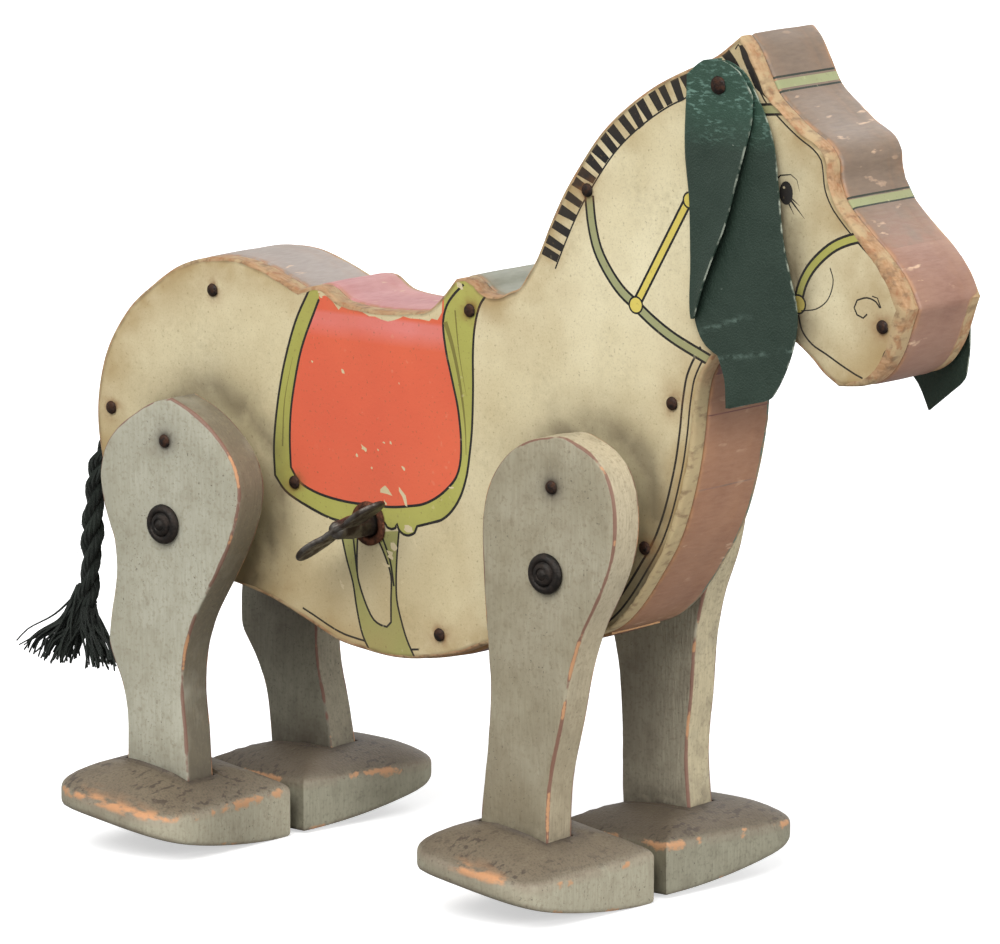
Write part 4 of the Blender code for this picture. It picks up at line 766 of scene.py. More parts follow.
# The ear's front edge, from beside its nail down, whose sweep soils the paper and whose shadow is painted
# on it
EAR_FRONT = [(5.9, 3.7), (10.1, -2.2), (14.4, -11.4), (16.2, -22.6), (17.7, -33.8), (19.7, -41.6),
             (21.7, -49.3), (21.5, -55.1), (18.5, -63.8), (14.6, -70.2), (13.5, -71.0)]
NOSE_TIP = (118, 148)
for side, name in ((RIGHT, "right_side_board"), (LEFT, "left_side_board")):
    loops = loops_of(name, side * OUTER)
    outline = evened(loops[0], 1.25)
    body_outline = outline
    # The paper's edge wanders, and at the nose it is worn back farthest
    chance = random.Random(side + 5)
    ragged = []
    drift = 0
    for p in outline:
        drift = 0.8 * drift + chance.uniform(-0.16, 0.16)
        nose = max(0.0, 1 - math.dist(p, NOSE_TIP) / 22) if p.x > 100 else 0
        ragged.append(max(0.45, 0.75 + drift + 2.6 * nose ** 0.7))
    profile = [(ragged, 0, 0.3), ([min(r, 0.45) for r in ragged], 0.05, 0.8), (0.16, 0.28, 1),
               (0.02, 0.75, 1), (0, 1.3, 0.7)]
    holes = [curve(loop, 1.2, closed=True, corner=60) for loop in loops[1:]]
    # Dirt and painted shade lie where the legs pass, and dirt with the ear's painted shadow beside the
    # right ear
    legs_beside = [name[:-10] + end for end in ("front_leg", "rear_leg")]
    shade_and_dirt_spots = [p for leg in legs_beside
             for p in curve(loops_of(leg, side * LEG_OUT)[0], 2, closed=True) if p.y > 55]
    if side == RIGHT:
        ear_edge = curve([Vector(p) for p in EAR_FRONT[3:9]], 2)
        shade_and_dirt_spots += [Vector((EAR_PINS[side][0] + x, EAR_PINS[side][1] + z)) for x, z in ear_edge]
    nails = [spot for key, spot in NAILS.items() if key != "motor" or side == RIGHT]
    bm = bmesh.new()
    slab(bm, side, outline, INNER, OUTER, profile, holes, design(outline), 4, edge_finish=EDGE,
         back_finish=BOARD, edge_reach=9, nails=nails, shade_and_dirt_spots=shade_and_dirt_spots)
    piece(name + "_papered", bm, print_finishes, "printed_paper", name)


# Core: four blocks of sawn pine between the boards. Strips of plain coloured paper are glued over
# them and on over the left board's edge; the green lines of the harness run on across the strips.
def covering(name, colour, second, third, below=None):
    """Plain coloured paper: half matt, faded by the sun in clouds, with long fibres 0.9 mm apart, and
    rubbed through to the wood in spots and at its edges. Below is the colour that it fades into."""
    material, tree, shader, place = finish(name, 0.5)
    wear = node(tree, "ShaderNodeAttribute", output="Fac", attribute_name="wear")
    fibres = blotches(tree, place, 0.9, 0.3, 0.7, stretch=(1, 0.25, 1))
    layers = [(blotches(tree, place, 14, 0.35, 0.68, 0.85), tone(second))]
    if below:
        layers.append((fade(tree, place, "Z", 172, 161), blotches(tree, place, 5, 0.25, 0.55), tone(below)))
    layers += [(fibres, 0.35, tone(third)),
               (blotches(tree, place, 2.6, 0.64, 0.7, 0.8, stretch=(1, 0.3, 1)),
                blotches(tree, place, 16, 0.42, 0.6), tone("D2B193")),
               (wear, blotches(tree, place, 3, 0.4, 0.56), tone("A87C56"))]
    coat(tree, shader, layered(tree, tone(colour), *layers), fibres, 0.04)
    return material


CHEST, THROAT, NOSE, FACE, WITHERS, SEAT, RUMP, BELLY, GREEN_LINE, DARK_LINE, CHEST_EDGE = range(11)
strip_finishes = [
    covering("chest_paper", "966D52", "805842", "A98268"),
    covering("throat_paper", "6E4640", "8A5B4C", "59382F"),
    covering("nose_paper", "93705D", "825C4C", "A58270"),
    covering("face_paper", "766455", "69594B", "8C7964", "8C6452"),
    covering("withers_paper", "848673", "717263", "9B9C8A"),
    covering("seat_paper", "BE807D", "AB6A6C", "CE9C96"),
    covering("rump_paper", "988A81", "877A70", "AEA297"),
    covering("belly_paper", "6A3D34", "4F2F29", "7F5144"),
    printed("green_line_on_strip", tone("979B74"), tone("868962"), 0.3, 0.2),
    printed("dark_line_on_strip", tone("2C332E"), tone("3A3D34"), 0.3, 0.1),
    covering("blue_green_paper_edge", "4E6D60", "3C554B", "6F8A7B"),
]
# Where each colour starts, going round the outline anticlockwise from the chest's lowest point
ZONES = [((34.5, 64.9), CHEST), ((64.1, 128.5), THROAT), ((91, 138.7), NOSE), ((112.5, 161.7), FACE),
         ((74.3, 207.6), FACE), ((10.2, 143.9), WITHERS), ((-19.5, 135.6), SEAT), ((-54.5, 138.2), RUMP),
         ((-88.2, 64.9), BELLY)]
# Lines across the strips, each with its place on the outline and its width
BANDS = [((80.3, 198.3), 0.5, DARK_LINE), ((80.7, 197.4), 2.1, GREEN_LINE), ((82.1, 195.2), 0.5, DARK_LINE),
         ((101.1, 172.6), 0.5, DARK_LINE), ((101.3, 171.9), 2.0, GREEN_LINE),
         ((102.2, 170.0), 0.5, DARK_LINE), ((-55.4, 137.9), 1.5, GREEN_LINE),
         ((-57, 137.3), 0.4, DARK_LINE), ((61.6, 119), 0.3, THROAT), ((58.9, 101.2), 0.4, FACE)]
STRIP_MARKS = 520


def reach_of(loop, point):
    """How far along a loop its nearest place to the point lies."""
    best = (1e9, 0)
    gone = 0
    for a, b in zip(loop, loop[1:] + loop[:1]):
        run = b - a
        share = min(1, max(0, (Vector(point) - a).dot(run) / run.length_squared))
        best = min(best, ((a + run * share - Vector(point)).length, gone + run.length * share))
        gone += run.length
    return best[1]


def strip_section(spot, edge_drift):
    """The strip's cross-section at a place on the outline, as (y, lift, wear), and its distance out."""
    behind = spot.x < 5 and spot.y > 120
    muzzle = spot.x > 96 and spot.y < 150
    if spot.y < 64 and -85 < spot.x < 30:
        return [(-9.1, -0.9, 0.9), (-8.8, -0.2, 0.6), (-8, 0, 0.1), (-4, 0.05, 0), (0, 0.08, 0),
                (4, 0.05, 0), (7.5, 0.02, 0), (8.2, 0, 0.1), (8.8, -0.2, 0.4), (9.1, -0.9, 0.9)], 0.75
    far = (9.9 if muzzle else 12.4 if behind else 13.5) + edge_drift * (0.3 if muzzle else 1)
    return [(-9.45, -0.45, 0.9), (-9.2, -0.1, 0.6), (-8.4, 0.05, 0.1), (-4, 0.12, 0), (0, 0.16, 0),
            (4, 0.12, 0), (8.4, 0.05, 0.1), (9.0, 0.1, 0), (far - 0.8, 0.1, 0.2), (far, 0.02, 0.8)], 0.12


def make_strips(outline):
    """The glued strips as one closed ribbon round the body, coloured zone by zone."""
    lengths = [(b - a).length for a, b in zip(outline, outline[1:] + outline[:1])]
    total = sum(lengths)
    zones = sorted((reach_of(outline, p), index) for p, index in ZONES)
    bands = [(reach_of(outline, p), width, index) for p, width, index in BANDS]
    marks = {round(i * total / STRIP_MARKS, 3) for i in range(STRIP_MARKS)}
    fixed = [s for s, index in zones] + [s for s, width, index in bands]
    fixed += [(s - width) % total for s, width, index in bands]
    marks = sorted({m for m in marks if all(abs(m - f) > 0.3 for f in fixed)} | set(fixed))
    starts = [0]
    for length in lengths:
        starts.append(starts[-1] + length)
    bm = bmesh.new()
    wear = bm.verts.layers.float.new("wear")
    chance = random.Random(3)
    rows = []
    segment = 0
    edge_drift = 0
    for s in marks:
        while starts[segment + 1] < s:
            segment += 1
        a, b = outline[segment], outline[(segment + 1) % len(outline)]
        spot = a.lerp(b, (s - starts[segment]) / lengths[segment])
        run = (outline[(segment + 2) % len(outline)] - outline[segment - 1]).normalized()
        out = Vector((run.y, -run.x))
        edge_drift = 0.85 * edge_drift + chance.uniform(-0.2, 0.2)
        stations, base = strip_section(spot, edge_drift)
        row = []
        for y, lift, worn in stations:
            place = spot + out * (base + lift)
            vert = bm.verts.new((place.x * MM, y * MM, place.y * MM))
            vert[wear] = worn
            row.append(vert)
        for y, lift, worn in stations[::-1]:
            place = spot + out * (base + min(lift, 0) - 0.25)
            row.append(bm.verts.new((place.x * MM, y * MM, place.y * MM)))
        rows.append((s, row))
    for (s, row), (following, next_row) in zip(rows, rows[1:] + rows[:1]):
        middle = s + 0.05
        index = next((i for start, i in zones[::-1] if start <= middle), zones[-1][1])
        for start, width, band in bands:
            if (start - middle) % total < width:
                index = band
        for i in range(len(row)):
            made = bm.faces.new((row[i - 1], row[i], next_row[i], next_row[i - 1]))
            made.material_index = CHEST_EDGE if index == CHEST and i in (9, 10, 11) else index
    bmesh.ops.recalc_face_normals(bm, faces=bm.faces)
    piece("covering_strips", bm, strip_finishes, "covered_wood")


make_strips(body_outline)
core_wood = bare_wood("sawn_pine_core", "B98F63", "9A734C")


# Nails: round-headed iron nails, rusted nearly black, driven through the boards into the core. Eight
# hold each board, and a ninth on the right goes into the motor's plate.
GAP = 0.3
NAIL_LENGTH = 11
MOTOR_NAIL_LENGTH = 6.3
NAIL_HEAD = 1.6
NAIL_SHANK = 0.75


def metal(name, colour, second, roughness, size=3, depth=0.02):
    """Bare metal: it mirrors the room dimly, with dull tarnish in patches and the fine marks of its
    making, which are drawn 0.5 mm wide so that they show."""
    material, tree, shader, place = finish(name, roughness, 1.0)
    tarnish = blotches(tree, place, size, 0.4, 0.62)
    marks = blotches(tree, place, 0.5, 0.35, 0.65)
    rough = node(tree, "ShaderNodeMapRange",
                 {"Value": tarnish, "To Min": roughness, "To Max": min(1, roughness + 0.25)})
    coat(tree, shader, layered(tree, tone(colour), (tarnish, tone(second))), marks, depth, rough)
    return material


def lathe(bm, centre, profile, side, sides=28, wobble=0.0):
    """A mesh turned about a line along y, from a profile of (radius, outward place) points in mm.
    Wobble is how far, as a share, a hand-struck head is from round."""
    chance = random.Random(int(centre[0] * 10) + side)
    bumps = [1 + chance.uniform(-wobble, wobble) for i in range(5)]
    rows = []
    for radius, out in profile:
        row = []
        for i in range(sides if radius else 1):
            angle = 2 * math.pi * i / sides
            uneven = sum(b * math.cos(k * angle + b * 9) for k, b in enumerate(bumps, 2))
            local = radius * (1 + uneven * wobble)
            row.append(bm.verts.new(((centre[0] + local * math.cos(angle)) * MM, side * out * MM,
                                     (centre[1] + local * math.sin(angle)) * MM)))
        rows.append(row)
    for a, b in zip(rows, rows[1:]):
        for i in range(sides):
            j = (i + 1) % sides
            corners = [a[0]] if len(a) == 1 else [a[i], a[j]]
            corners += [b[0]] if len(b) == 1 else [b[j], b[i]]
            if len(corners) > 2:
                bm.faces.new(corners)
    bmesh.ops.recalc_face_normals(bm, faces=bm.faces)


nail_iron = metal("rusted_nail_iron", "302A28", "4A362C", 0.48, 1.2, 0.06)


def nail(name, centre, seat, length, side, *nodes, radius=NAIL_HEAD):
    """A nail whose domed head lies on a face at a distance seat from the middle plane."""
    profile = [(0, seat - length), (0.3, seat - length + 0.4), (NAIL_SHANK, seat - length + 2),
               (NAIL_SHANK, seat), (radius - 0.1, seat - 0.05)]
    for angle in (0, 20, 40, 58, 75):
        rise = math.radians(angle)
        profile.append((radius * math.cos(rise), seat + 0.7 * math.sin(rise)))
    bm = bmesh.new()
    lathe(bm, centre, profile + [(0, seat + 0.71)], side, wobble=0.012)
    piece(name, bm, [nail_iron], "nails", *nodes)


for spot_name, spot in NAILS.items():
    for side, side_name in ((RIGHT, "right_"), (LEFT, "left_")):
        if spot_name == "motor" and side == LEFT:
            continue
        own = "motor_nail" if spot_name == "motor" else side_name + spot_name + "_nail"
        nodes = [own] if own in frame["nodes"] else []
        length = MOTOR_NAIL_LENGTH if spot_name == "motor" else NAIL_LENGTH
        nail(own + "_rusted", spot, OUTER + (GAP if nodes else 0), length, side, *nodes)


# Motor and axles: a spring motor of plain steel plates and arbors with stamped brass wheels, bent
# wire axles and turned cranks. They keep the solids and get oiled metal's streaks and tarnish.
mechanism = {"steel": metal("plain_steel", "9C9A95", "77726A", 0.38),
             "brass": metal("stamped_brass", "C9A764", "9C7B44", 0.36), "covered_wood": core_wood}
for item in frame["nodes"].values():
    slot_name = item.data.materials[0].name
    if slot_name in mechanism:
        item.data.materials[0] = mechanism[slot_name]
frame["nodes"]["mainspring"].data.materials[0] = metal("blued_spring_steel", "5A5F6B", "4A4238", 0.3)


# Winding key and its eyelet: a pressed steel key with two thumb wings, gone dark, through a copper
# eyelet that is clenched in the right board. The wings lie at 30 degrees and are twisted a little.
WINDING = (-35, 83.3)
KEY_MIDDLE = OUTER + 10.8
KEY_TURN = math.radians(30)
WING_MIDDLE = 8.6
WING_HALF_LENGTH = 6.4
WING_HALF_WIDTH = 4.5
WING_HALF_THICKNESS = 0.65

key_steel = metal("darkened_key_steel", "66625D", "433A33", 0.42, 2.5, 0.04)
bm = bmesh.new()
lobe = []
for i in range(15):
    angle = math.radians(128 - 128 * i / 14)
    lobe.append((WING_MIDDLE + WING_HALF_LENGTH * math.cos(angle), WING_HALF_WIDTH * math.sin(angle)))
upper = [(-w, h) for w, h in lobe[::-1]] + [(-2.2, 3.0), (2.2, 3.0)] + lobe
wings = curve(anticlockwise(upper + [(w, -h) for w, h in upper[::-1][1:-1]]), 1.0, closed=True, corner=70)
slab(bm, 1, wings, -WING_HALF_THICKNESS, WING_HALF_THICKNESS,
     [(0.55, 0, 0), (0.3, 0.1, 0.5), (0.1, 0.28, 1), (0, 0.5, 1)], spacing=2)
for vert in bm.verts:
    reach = abs(vert.co.x / MM) - 3
    if reach > 0:
        twist = math.copysign(0.9 * MM, vert.co.x) * (reach / 12) ** 1.5
        hollow = 0.35 * MM * math.cos(vert.co.z / MM / WING_HALF_WIDTH * 1.5)
        vert.co.y += twist - hollow
bmesh.ops.transform(bm, verts=bm.verts, matrix=Matrix((
    (math.cos(KEY_TURN), -math.sin(KEY_TURN), 0, WINDING[0] * MM), (0, 0, -1, -KEY_MIDDLE * MM),
    (math.sin(KEY_TURN), math.cos(KEY_TURN), 0, WINDING[1] * MM), (0, 0, 0, 1))))
hub = [(2.0, OUTER - 1.025), (2.65, OUTER - 1.125), (2.9, OUTER - 0.825), (2.8, KEY_MIDDLE - 4),
       (2.35, KEY_MIDDLE - 1), (2.2, KEY_MIDDLE + 1.2), (1.8, KEY_MIDDLE + 2.0), (1.0, KEY_MIDDLE + 2.4),
       (0, KEY_MIDDLE + 2.45)]
lathe(bm, WINDING, hub, RIGHT, 32)
piece("wing_key_pressed", bm, [key_steel], "key", "wing_key")

eyelet_copper = metal("tarnished_copper", "6E4736", "46332A", 0.52, 1.6, 0.08)
bm = bmesh.new()
face = OUTER + GAP
flange = [(3.3, INNER + 0.4), (3.3, face + 0.2), (3.45, face + 0.45), (3.9, face + 0.6), (4.6, face + 0.5),
          (5.1, face + 0.3), (5.3, face), (4.2, face), (4.0, face - 0.2), (4.0, INNER + 0.3),
          (3.3, INNER + 0.4)]
lathe(bm, WINDING, flange, RIGHT, 36, wobble=0.012)
piece("key_eyelet_clenched", bm, [eyelet_copper], "eyelet", "key_eyelet")


# Legs and feet: 3/8 in board, sawn to shape and dipped in flat grey-green paint. The corners are
# knocked bare, a red-brown primer shows at the breaks, and dust lies on the feet.
LEG_IN = 20.775


def paint(name, colour, second, dirt, narrow_light_and_shade, primer=0.8, dust_colour="75695A", low_dirt=0.0):
    """Flat oil paint on wood: matt and a little chalky, streaked along the grain, with ground-in dirt,
    dust on the flat tops, and dark corners of dirt and painted shade where a leg goes into its foot. At
    worn edges the red-brown primer shows, then bare wood. The fifth colour is painted light and shade on
    the faces round the board's thickness, and low_dirt is how dirty the legs get downward."""
    material, tree, shader, place = finish(name, 0.66)
    wear, dust, grime, rust, scuff = (node(tree, "ShaderNodeAttribute", output="Fac", attribute_name=layer)
                                      for layer in ("wear", "dust", "grime", "rust", "scuff"))
    normal = node(tree, "ShaderNodeTexCoord", output="Normal")
    facing = node(tree, "ShaderNodeSeparateXYZ", {"Vector": normal}, "Y")
    facing = node(tree, "ShaderNodeMath", {0: facing}, operation="ABSOLUTE")
    # The faces round the board's thickness get the fifth colour as painted light and shade
    sawn = node(tree, "ShaderNodeMapRange",
                {"Value": facing, "From Min": 0.6, "From Max": 0.2, "To Max": 0.85})
    grain = blotches(tree, place, 0.7, 0.35, 0.65, stretch=(1, 1, 0.12))
    broken = node(tree, "ShaderNodeMath", {0: wear, 1: blotches(tree, place, 9, 0.3, 0.5)},
                  operation="MULTIPLY")
    primed = node(tree, "ShaderNodeMapRange",
                  {"Value": broken, "From Min": 0.35, "From Max": 0.6, "To Max": primer})
    fine = blotches(tree, place, 0.8, 0.3, 0.7, 0.3, stretch=(0.5, 0.5, 1))
    rubbed = node(tree, "ShaderNodeMath", {0: wear, 1: blotches(tree, place, 11, 0.47, 0.58), 2: fine},
                  operation="MULTIPLY_ADD")
    bare = node(tree, "ShaderNodeMapRange",
                {"Value": rubbed, "From Min": 0.62, "From Max": 0.85, "To Max": 0.9})
    colour = layered(
        tree, tone(colour),
        (blotches(tree, place, 22, 0.38, 0.66), tone(second)),
        # Painted light and shade on the faces round the board's thickness: lighter on most legs, darker on
        # the right rear
        (sawn, blotches(tree, place, 12, 0.05, 0.45), tone(narrow_light_and_shade)),
        (grain, 0.2, tone(dirt)),
        (blotches(tree, place, 5, 0.5, 0.78, 0.4), tone(dirt)),
        (blotches(tree, place, 0.9, 0.52, 0.72, 0.45), tone(dirt)),
        (fade(tree, place, "Z", 85, 30, low_dirt), blotches(tree, place, 14, 0.25, 0.55), tone(dirt)),
        (dust, blotches(tree, place, 1.3, -0.4, 0.4, stretch=(1, 0.3, 1)), 0.95, tone(dust_colour)),
        (dust, blotches(tree, place, 6, 0.48, 0.75, 0.4), tone("4A3F31")),
        (dust, blotches(tree, place, 0.55, 0.48, 0.66, 0.5), tone("41372B")),
        (dust, blotches(tree, place, 1.4, 0.55, 0.62, 0.8, stretch=(1, 0.5, 1)),
         blotches(tree, place, 11, 0.42, 0.55), tone("3A2F26")),
        (rust, blotches(tree, place, 2, 0.05, 0.4), tone("3E332A")),
        (blotches(tree, place, 0.7, 0.64, 0.72, 0.8), blotches(tree, place, 14, 0.4, 0.6), tone("4A4032")),
        # Dirt and painted shade where a leg goes into its foot, on the leg's lower end and round the foot's
        # pocket
        (grime, blotches(tree, place, 2.5, 0.1, 0.5, 0.95), tone("3A3128")),
        (primed, tone("6E4032")),
        (bare, tone("B98A62")),
        (scuff, blotches(tree, place, 2.2, 0.4, 0.54, 0.95, stretch=(0.4, 1, 1)), tone("C08A5E")))
    coat(tree, shader, colour, grain, 0.06)
    return material


# The left legs stand under the body: their paints are darker copies, painted shade with some dirt
leg_paints = {
    "right_front": paint("grey_green_paint_worn", "A8A18B", "989078", "796D55", "BBAE92", low_dirt=0.55),
    "left_front": paint("grey_green_paint_stained", "A39C87", "8C8471", "65594A", "C0B391"),
    # The right rear leg's faces round its thickness are painted dark: painted shade
    "right_rear": paint("grey_green_paint", "B4B2A0", "A9A693", "857B64", "574C39"),
    "left_rear": paint("grey_green_paint_grimed", "848170", "6A6455", "4E4637", "9A927C")}
# The left feet get a darker copy of the paint: painted shade under the body
foot_paints = {
    RIGHT: paint("grey_green_foot_paint", "A39E89", "918A76", "746855", "A39E89", 0.12, "685C4A"),
    LEFT: paint("grey_green_foot_paint_grimed", "8C8976", "79745F", "5A5141", "8C8976", 0.12, "584C3C")}

# A foot is straight-sided from its inner end, then rounds off to its outer end. Its top is a flat dome
# and its sole is part of a wide roll. All are in its own frame: dx along the toy, out from the middle.
HALF_LENGTH = 18.9
FOOT_INNER, FOOT_STRAIGHT, FOOT_OUTER = 2.2, 33.7, 50.3
FOOT_MIDDLE = (FOOT_INNER + FOOT_OUTER) / 2
SQUARENESS = 3.3
CROWN, RIM, RIM_FALL, DOME = 17.4, 12.3, 1.1, 2.9
SOLE_RADIUS = 170
# The stretch of the outer rim, in dx, where a foot is scuffed to the wood
SCUFFS = {"right_front_foot": (-3, 13), "right_rear_foot": (-9, 18)}
# Each leg with its pin, guide nail and ankle, and its foot's shift ahead and out, slant and turn
LEGS = [("right_front", RIGHT, (31.65, 81.48), (33.0, 101.8), 21.6, (0.6, 0, -8, -2)),
        ("left_front", LEFT, (25.85, 79.92), None, 25.1, (1.9, 1.5, 2, -8)),
        ("right_rear", RIGHT, (-85.55, 79.68), (-85.3, 99.9), -88.6, (-0.7, 0, -8, 0)),
        ("left_rear", LEFT, (-91.35, 78.12), None, -85.3, (1.5, 1.5, 1.5, -9))]


def rim_out(dx):
    """How far out the foot's rounded rim lies at a place along the toy."""
    beyond = (1 - (abs(dx) / HALF_LENGTH) ** SQUARENESS) ** (1 / SQUARENESS)
    return FOOT_STRAIGHT + (FOOT_OUTER - FOOT_STRAIGHT) * beyond


def rim_share(dx, out):
    """How far a place lies from the foot's middle to its rim, as a share."""
    low, high = 0.0, 1.4
    for step in range(16):
        share = (low + high) / 2
        x = abs(dx) / share
        y = FOOT_MIDDLE + (out - FOOT_MIDDLE) / share
        beyond = max(0.0, (y - FOOT_STRAIGHT) / (FOOT_OUTER - FOOT_STRAIGHT))
        inside = y >= FOOT_INNER and (x / HALF_LENGTH) ** SQUARENESS + beyond ** SQUARENESS <= 1
        if beyond == 0 and x > HALF_LENGTH:
            inside = False
        low, high = (low, share) if inside else (share, high)
    return high


def foot_rim():
    """The foot's outline seen from above, in its own frame."""
    rim = [(HALF_LENGTH, FOOT_INNER + (FOOT_STRAIGHT - FOOT_INNER) * i / 14) for i in range(15)]
    for i in range(1, 24):
        angle = math.radians(90 * i / 24)
        dx = HALF_LENGTH * math.cos(angle) ** (2 / SQUARENESS)
        beyond = math.sin(angle) ** (2 / SQUARENESS)
        rim.append((dx, FOOT_STRAIGHT + (FOOT_OUTER - FOOT_STRAIGHT) * beyond))
    rim += [(0, FOOT_OUTER)] + [(-dx, out) for dx, out in rim[::-1]]
    rim += [(HALF_LENGTH * (i / 8 - 1), FOOT_INNER) for i in range(1, 16)]
    return anticlockwise(rim)


def make_foot(name, side, centre_x, outward, slant, turn, pocket):
    """A foot: set out by some mm, slanted and turned by degrees, with a pocket cut for the leg."""
    slope = math.tan(math.radians(slant))
    lift = abs(slope) * HALF_LENGTH
    turning = Matrix.Rotation(math.radians(turn), 2)
    bm = bmesh.new()
    wear, dusty, grimy_and_shaded, scuffed = (bm.verts.layers.float.new(layer)
                                   for layer in ("wear", "dust", "grime", "scuff"))

    def corner(dx, out, z, worn=0.0, dust=0.0, grime=0.0):
        spot = turning @ Vector((dx, side * (out - FOOT_MIDDLE)))
        y = spot.y + side * (FOOT_MIDDLE + outward)
        vert = bm.verts.new(((centre_x + spot.x) * MM, y * MM, max(0, z) * MM))
        vert[wear] = worn
        vert[dusty] = dust
        vert[grimy_and_shaded] = grime
        back, front = SCUFFS.get(name, (0, 0))
        if back < dx < front and z > top_z(dx, out) - 1.0:
            vert[scuffed] = math.exp(-((rim_out(dx) - out - 0.7) / 1.2) ** 2)
        return vert

    def top_z(dx, out):
        """The height of the domed top, which falls to the rim and slants with the foot."""
        share = min(1, rim_share(dx, out))
        rim_y = FOOT_MIDDLE + (out - FOOT_MIDDLE) / max(share, 0.01)
        rim_z = RIM - RIM_FALL * (rim_y - FOOT_INNER) / (FOOT_OUTER - FOOT_INNER)
        return CROWN - (CROWN - rim_z) * share ** DOME + slope * dx + lift

    def sole_z(dx, out):
        """The height of the rolled sole."""
        return out * out / (2 * SOLE_RADIUS) - 0.5 + slope * dx + lift

    # From the top's rim down the wall to the sole: (inset, drop, wear, dust), then (inset, rise, ...)
    rim = foot_rim()
    rings = []
    for inset, drop, worn, dust in ((2.2, 0, 0, 1), (1.0, 0.08, 0.25, 0.9), (0.4, 0.3, 0.6, 0.5),
                                    (0.1, 0.7, 0.8, 0.15), (0, 1.3, 0.7, 0), (0, 2.6, 0.35, 0),
                                    (0, 4.5, 0, 0)):
        ring = []
        for p in grown(rim, -inset):
            wall = top_z(*p) - sole_z(*p)
            ring.append((p, corner(*p, top_z(*p) - min(drop, 0.5 * wall), worn, dust)))
        rings.append(ring)
    for inset, rise, worn, dust in ((0, 1.6, 0.2, 0), (0.1, 0.9, 0.6, 0), (0.5, 0.3, 0.7, 0),
                                    (1.4, 0, 0.3, 0.3)):
        rings.append([(p, corner(*p, sole_z(*p) + rise, worn, dust)) for p in grown(rim, -inset)])
    for first, second in zip(rings, rings[1:]):
        for i in range(len(rim)):
            j = (i + 1) % len(rim)
            bm.faces.new((first[i][1], first[j][1], second[j][1], second[i][1]))

    # The top and the sole close it; the pocket for the leg's tenon is cut in the top, with dirt and painted
    # shade all round
    hole = []
    for x, y in pocket:
        spot = turning.inverted() @ Vector((x - centre_x, y - side * (FOOT_MIDDLE + outward)))
        hole.append((spot.x, FOOT_MIDDLE + side * spot.y))
    hole = anticlockwise(hole)
    beside_hole = [tuple(p) for p in grown(hole, 1.5)]
    hole_edge = [Vector(a).lerp(Vector(b), k / 8)
                 for a, b in zip(hole, hole[1:] + hole[:1]) for k in range(9)]

    def top_corner(p):
        """A corner on the top, dusty, and darker the nearer it is to the pocket: dirt and painted shade."""
        near = min((p - spot).length for spot in hole_edge)
        return corner(*p, top_z(*p), 0, 1, min(1, 1.3 * math.exp(-near / 1.4)))

    filled(bm, rings[0], [hole], [(0, beside_hole)], 2.4, top_corner)
    filled(bm, rings[-1], (), (), 3, lambda p: corner(*p, sole_z(*p), 0.1, 0.6))
    walls = [[corner(*p, top_z(*p) - drop, 0, 1, 1) for p in hole] for drop in (0, 2.5)]
    for i in range(4):
        bm.faces.new((walls[0][i - 1], walls[0][i], walls[1][i], walls[1][i - 1]))
    bm.faces.new(walls[1])
    bmesh.ops.recalc_face_normals(bm, faces=bm.faces)
    piece(name + "_domed", bm, [foot_paints[side]], "painted_wood", name)


push_nut_iron = metal("blackened_push_nut", "2C2A28", "3A3430", 0.5, 1.6, 0.05)
for name, side, pin, guide, ankle, (ahead, outward, slant, turn) in LEGS:
    loops = loops_of(name + "_leg", side * LEG_OUT)
    outline = evened(loops[0], 1.4)
    holes = [curve(loop, 0.6, closed=True, corner=60) for loop in loops[1:]]
    if guide is None:
        smallest = min(holes, key=lambda loop: math.dist(loop[0], loop[len(loop) // 2]))
        guide = tuple(sum((Vector(p) for p in smallest), Vector((0, 0))) / len(smallest))
    chance = random.Random(int(ankle))
    knocked = []
    drift = 0
    for p in outline:
        drift = 0.75 * drift + chance.uniform(-0.12, 0.12)
        knocked.append(max(0.35, 0.7 + drift))
    profile = [(knocked, 0, 0.25), ([k * 0.5 for k in knocked], 0.1, 0.75), (0.12, 0.4, 0.85),
               (0, 0.9, 0.35), (0, 1.6, 0)]
    bm = bmesh.new()
    # The leg is darker near its ankle: dirt and painted shade where it goes into the foot
    slab(bm, side, outline, LEG_IN, LEG_OUT, profile, holes, (), 5, edge_reach=3, nails=[guide],
         shade_and_dirt_spots=[(ankle + 3 * i, 14) for i in range(-4, 5)])
    piece(name + "_leg_sawn", bm, [leg_paints[name]], "painted_wood", name + "_leg")

    # Foot: it takes the leg's lower end as a tenon, with a gap all round
    bottom = [p for p in loops[0] if p[1] < 19]
    back = min(p[0] for p in bottom) - GAP
    front = max(p[0] for p in bottom) + GAP
    near = side * (LEG_IN - GAP)
    far = side * (LEG_OUT + GAP)
    pocket = [(back, near), (front, near), (front, far), (back, far)]
    make_foot(name + "_foot", side, ankle + ahead, outward, slant, turn, pocket)

    # Guide nail and push nut: a nail near the leg's top, and a pressed, ringed cap on the crank's pin
    seat = LEG_OUT + GAP
    nail(name + "_guide_nail_rusted", guide, seat, seat - 10.6, side, name + "_guide_nail")
    rings = [(1.7, 0), (4.7, 0), (4.85, 0.35), (4.75, 0.8), (4.4, 1.3), (3.9, 1.6), (3.4, 1.65),
             (3.1, 1.45), (2.9, 1.2), (2.7, 1.3), (2.5, 1.75), (2.1, 2.0), (1.6, 2.05), (1.4, 1.8),
             (1.2, 1.85), (0.8, 2.25), (0, 2.35)]
    bm = bmesh.new()
    lathe(bm, pin, [(radius, seat + rise) for radius, rise in rings], side, 40)
    piece(name + "_push_nut_pressed", bm, [push_nut_iron], "push_nuts", name + "_push_nut")


